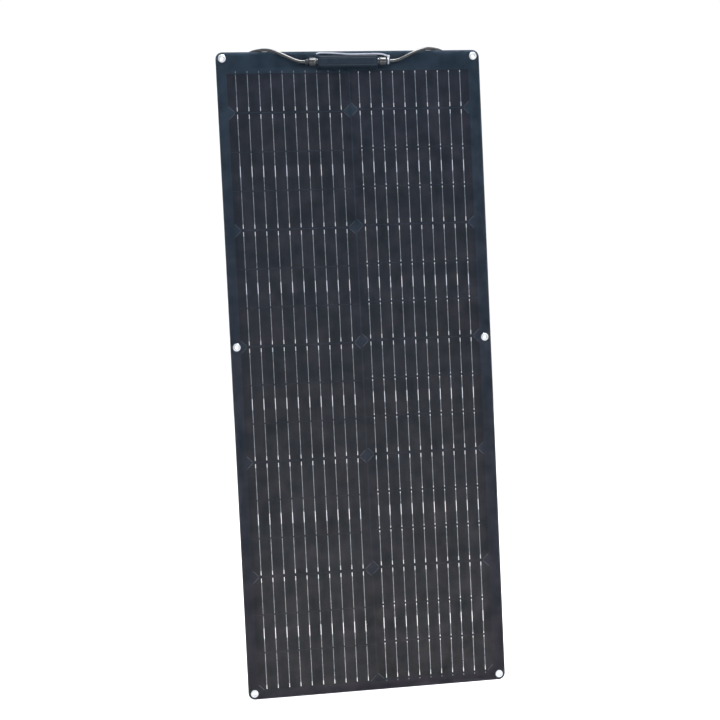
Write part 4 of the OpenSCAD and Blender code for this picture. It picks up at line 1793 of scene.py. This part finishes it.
@dataclass
class Studio:
    """Camera, soft lights and a pale floor."""

    eye: Spot = (-129.2, -1607.8, -488.9)
    target: Spot = (56.7, -2.5, -549.4)
    roll: float = 2.63
    shift: Flat = (-0.056, 0.056)
    lens: float = 50.0
    floor_z: float = -1110.0
    floor_half: float = 12000.0
    front_glow: float = 1.0
    back_glow: float = 1.04
    top_glow: float = 1.5
    aim: Spot = (0.0, 0.0, -0.45)
    # Name, place in metres, side in metres and power in watts.
    lights: tuple[tuple[str, Spot, float, float], ...] = (
        ("overhead", (0.3, -0.5, 1.6), 0.9, 95.0),
        ("fill", (2.4, -2.6, 0.6), 2.0, 20.0),
    )

    def build_camera(self) -> None:
        """Places the camera at its eye point, towards its target, and tips it by its roll."""
        data = bpy.data.cameras.new("camera")
        data.lens = self.lens
        data.shift_x, data.shift_y = self.shift
        data.clip_end = 100.0
        camera = put("camera", data)
        eye, ahead = Vector(self.eye) * MM, (Vector(self.target) - Vector(self.eye)).normalized()
        aim = ahead.to_track_quat("-Z", "Y").to_matrix().to_4x4()
        tip = Matrix.Rotation(math.radians(-self.roll), 4, "Z")
        camera.matrix_world = Matrix.Translation(eye) @ aim @ tip
        bpy.context.scene.camera = camera

    def build_floor(self) -> None:
        """Builds the floor as a wide round sheet."""
        shape, rings = Shape(), []
        steps, turn = 12, circle(96)
        for k in range(1, steps + 1):
            r = self.floor_half * k / steps
            rings.append([Vector((r * math.cos(a), r * math.sin(a), self.floor_z)) for a in turn])
        shape.loft(rings, caps=False)
        shape.add(rings[0], [tuple(range(len(turn)))])
        shape.make("floor", FLOOR)

    def build_light(self, name: str, place: Spot, size: float, power: float) -> None:
        """Builds one soft area light that faces the sheet.

        Args:
            name: Name of the light.
            place: Its place in metres.
            size: Side of the light in metres.
            power: Power in watts.
        """
        data = bpy.data.lights.new(name, "AREA")
        data.shape = "SQUARE"
        data.size = size
        data.energy = power
        light = put(name, data)
        turn = (Vector(self.aim) - Vector(place)).to_track_quat("-Z", "Y").to_matrix().to_4x4()
        light.matrix_world = Matrix.Translation(Vector(place)) @ turn

    def build_sky(self) -> None:
        """Makes the soft surroundings: white behind, duller in front and brightest above."""
        world = bpy.data.worlds.new("studio")
        world.use_nodes = True
        tree = world.node_tree
        tree.nodes.clear()
        way = add_node(tree, "TexCoord").outputs["Generated"]
        parts = add_node(tree, "SeparateXYZ", {"Vector": way}).outputs
        depth = {
            "Value": parts["Y"], "From Min": -0.5, "From Max": 0.3, "To Min": self.front_glow,
            "To Max": self.back_glow
        }
        height = {"Value": parts["Z"], "From Min": 0.45, "From Max": 0.9, "To Max": self.top_glow}
        ends = [
            add_node(tree, "MapRange", v, interpolation_type="SMOOTHSTEP").outputs[0]
            for v in (depth, height)
        ]
        total = add_node(tree, "Math", {0: ends[0], 1: ends[1]}, operation="ADD").outputs[0]
        glow = add_node(tree, "Background", {"Color": linear("#fdfeff"), "Strength": total})
        add_node(tree, "OutputWorld", {"Surface": glow.outputs[0]})
        bpy.context.scene.world = world
        bpy.context.scene.view_settings.view_transform = "Standard"

    def build(self) -> None:
        """Builds the studio."""
        self.build_camera()
        self.build_sky()
        self.build_floor()
        for light in self.lights:
            self.build_light(*light)


def main() -> None:
    """Builds the studio, then every sub-assembly in order."""
    logging.basicConfig(level=logging.INFO, format="%(name)s: %(message)s", stream=sys.stdout)
    Studio().build()
    for side in Side:
        Lead(side).build()
    Laminate().build()
    Eyelets().build()
    JunctionBox().build()
    dress("gland_lock_nuts", NUT)
    for side in Side:
        Gland(side).build()
    MarkerTie().build()


if __name__ == "__main__":
    main()
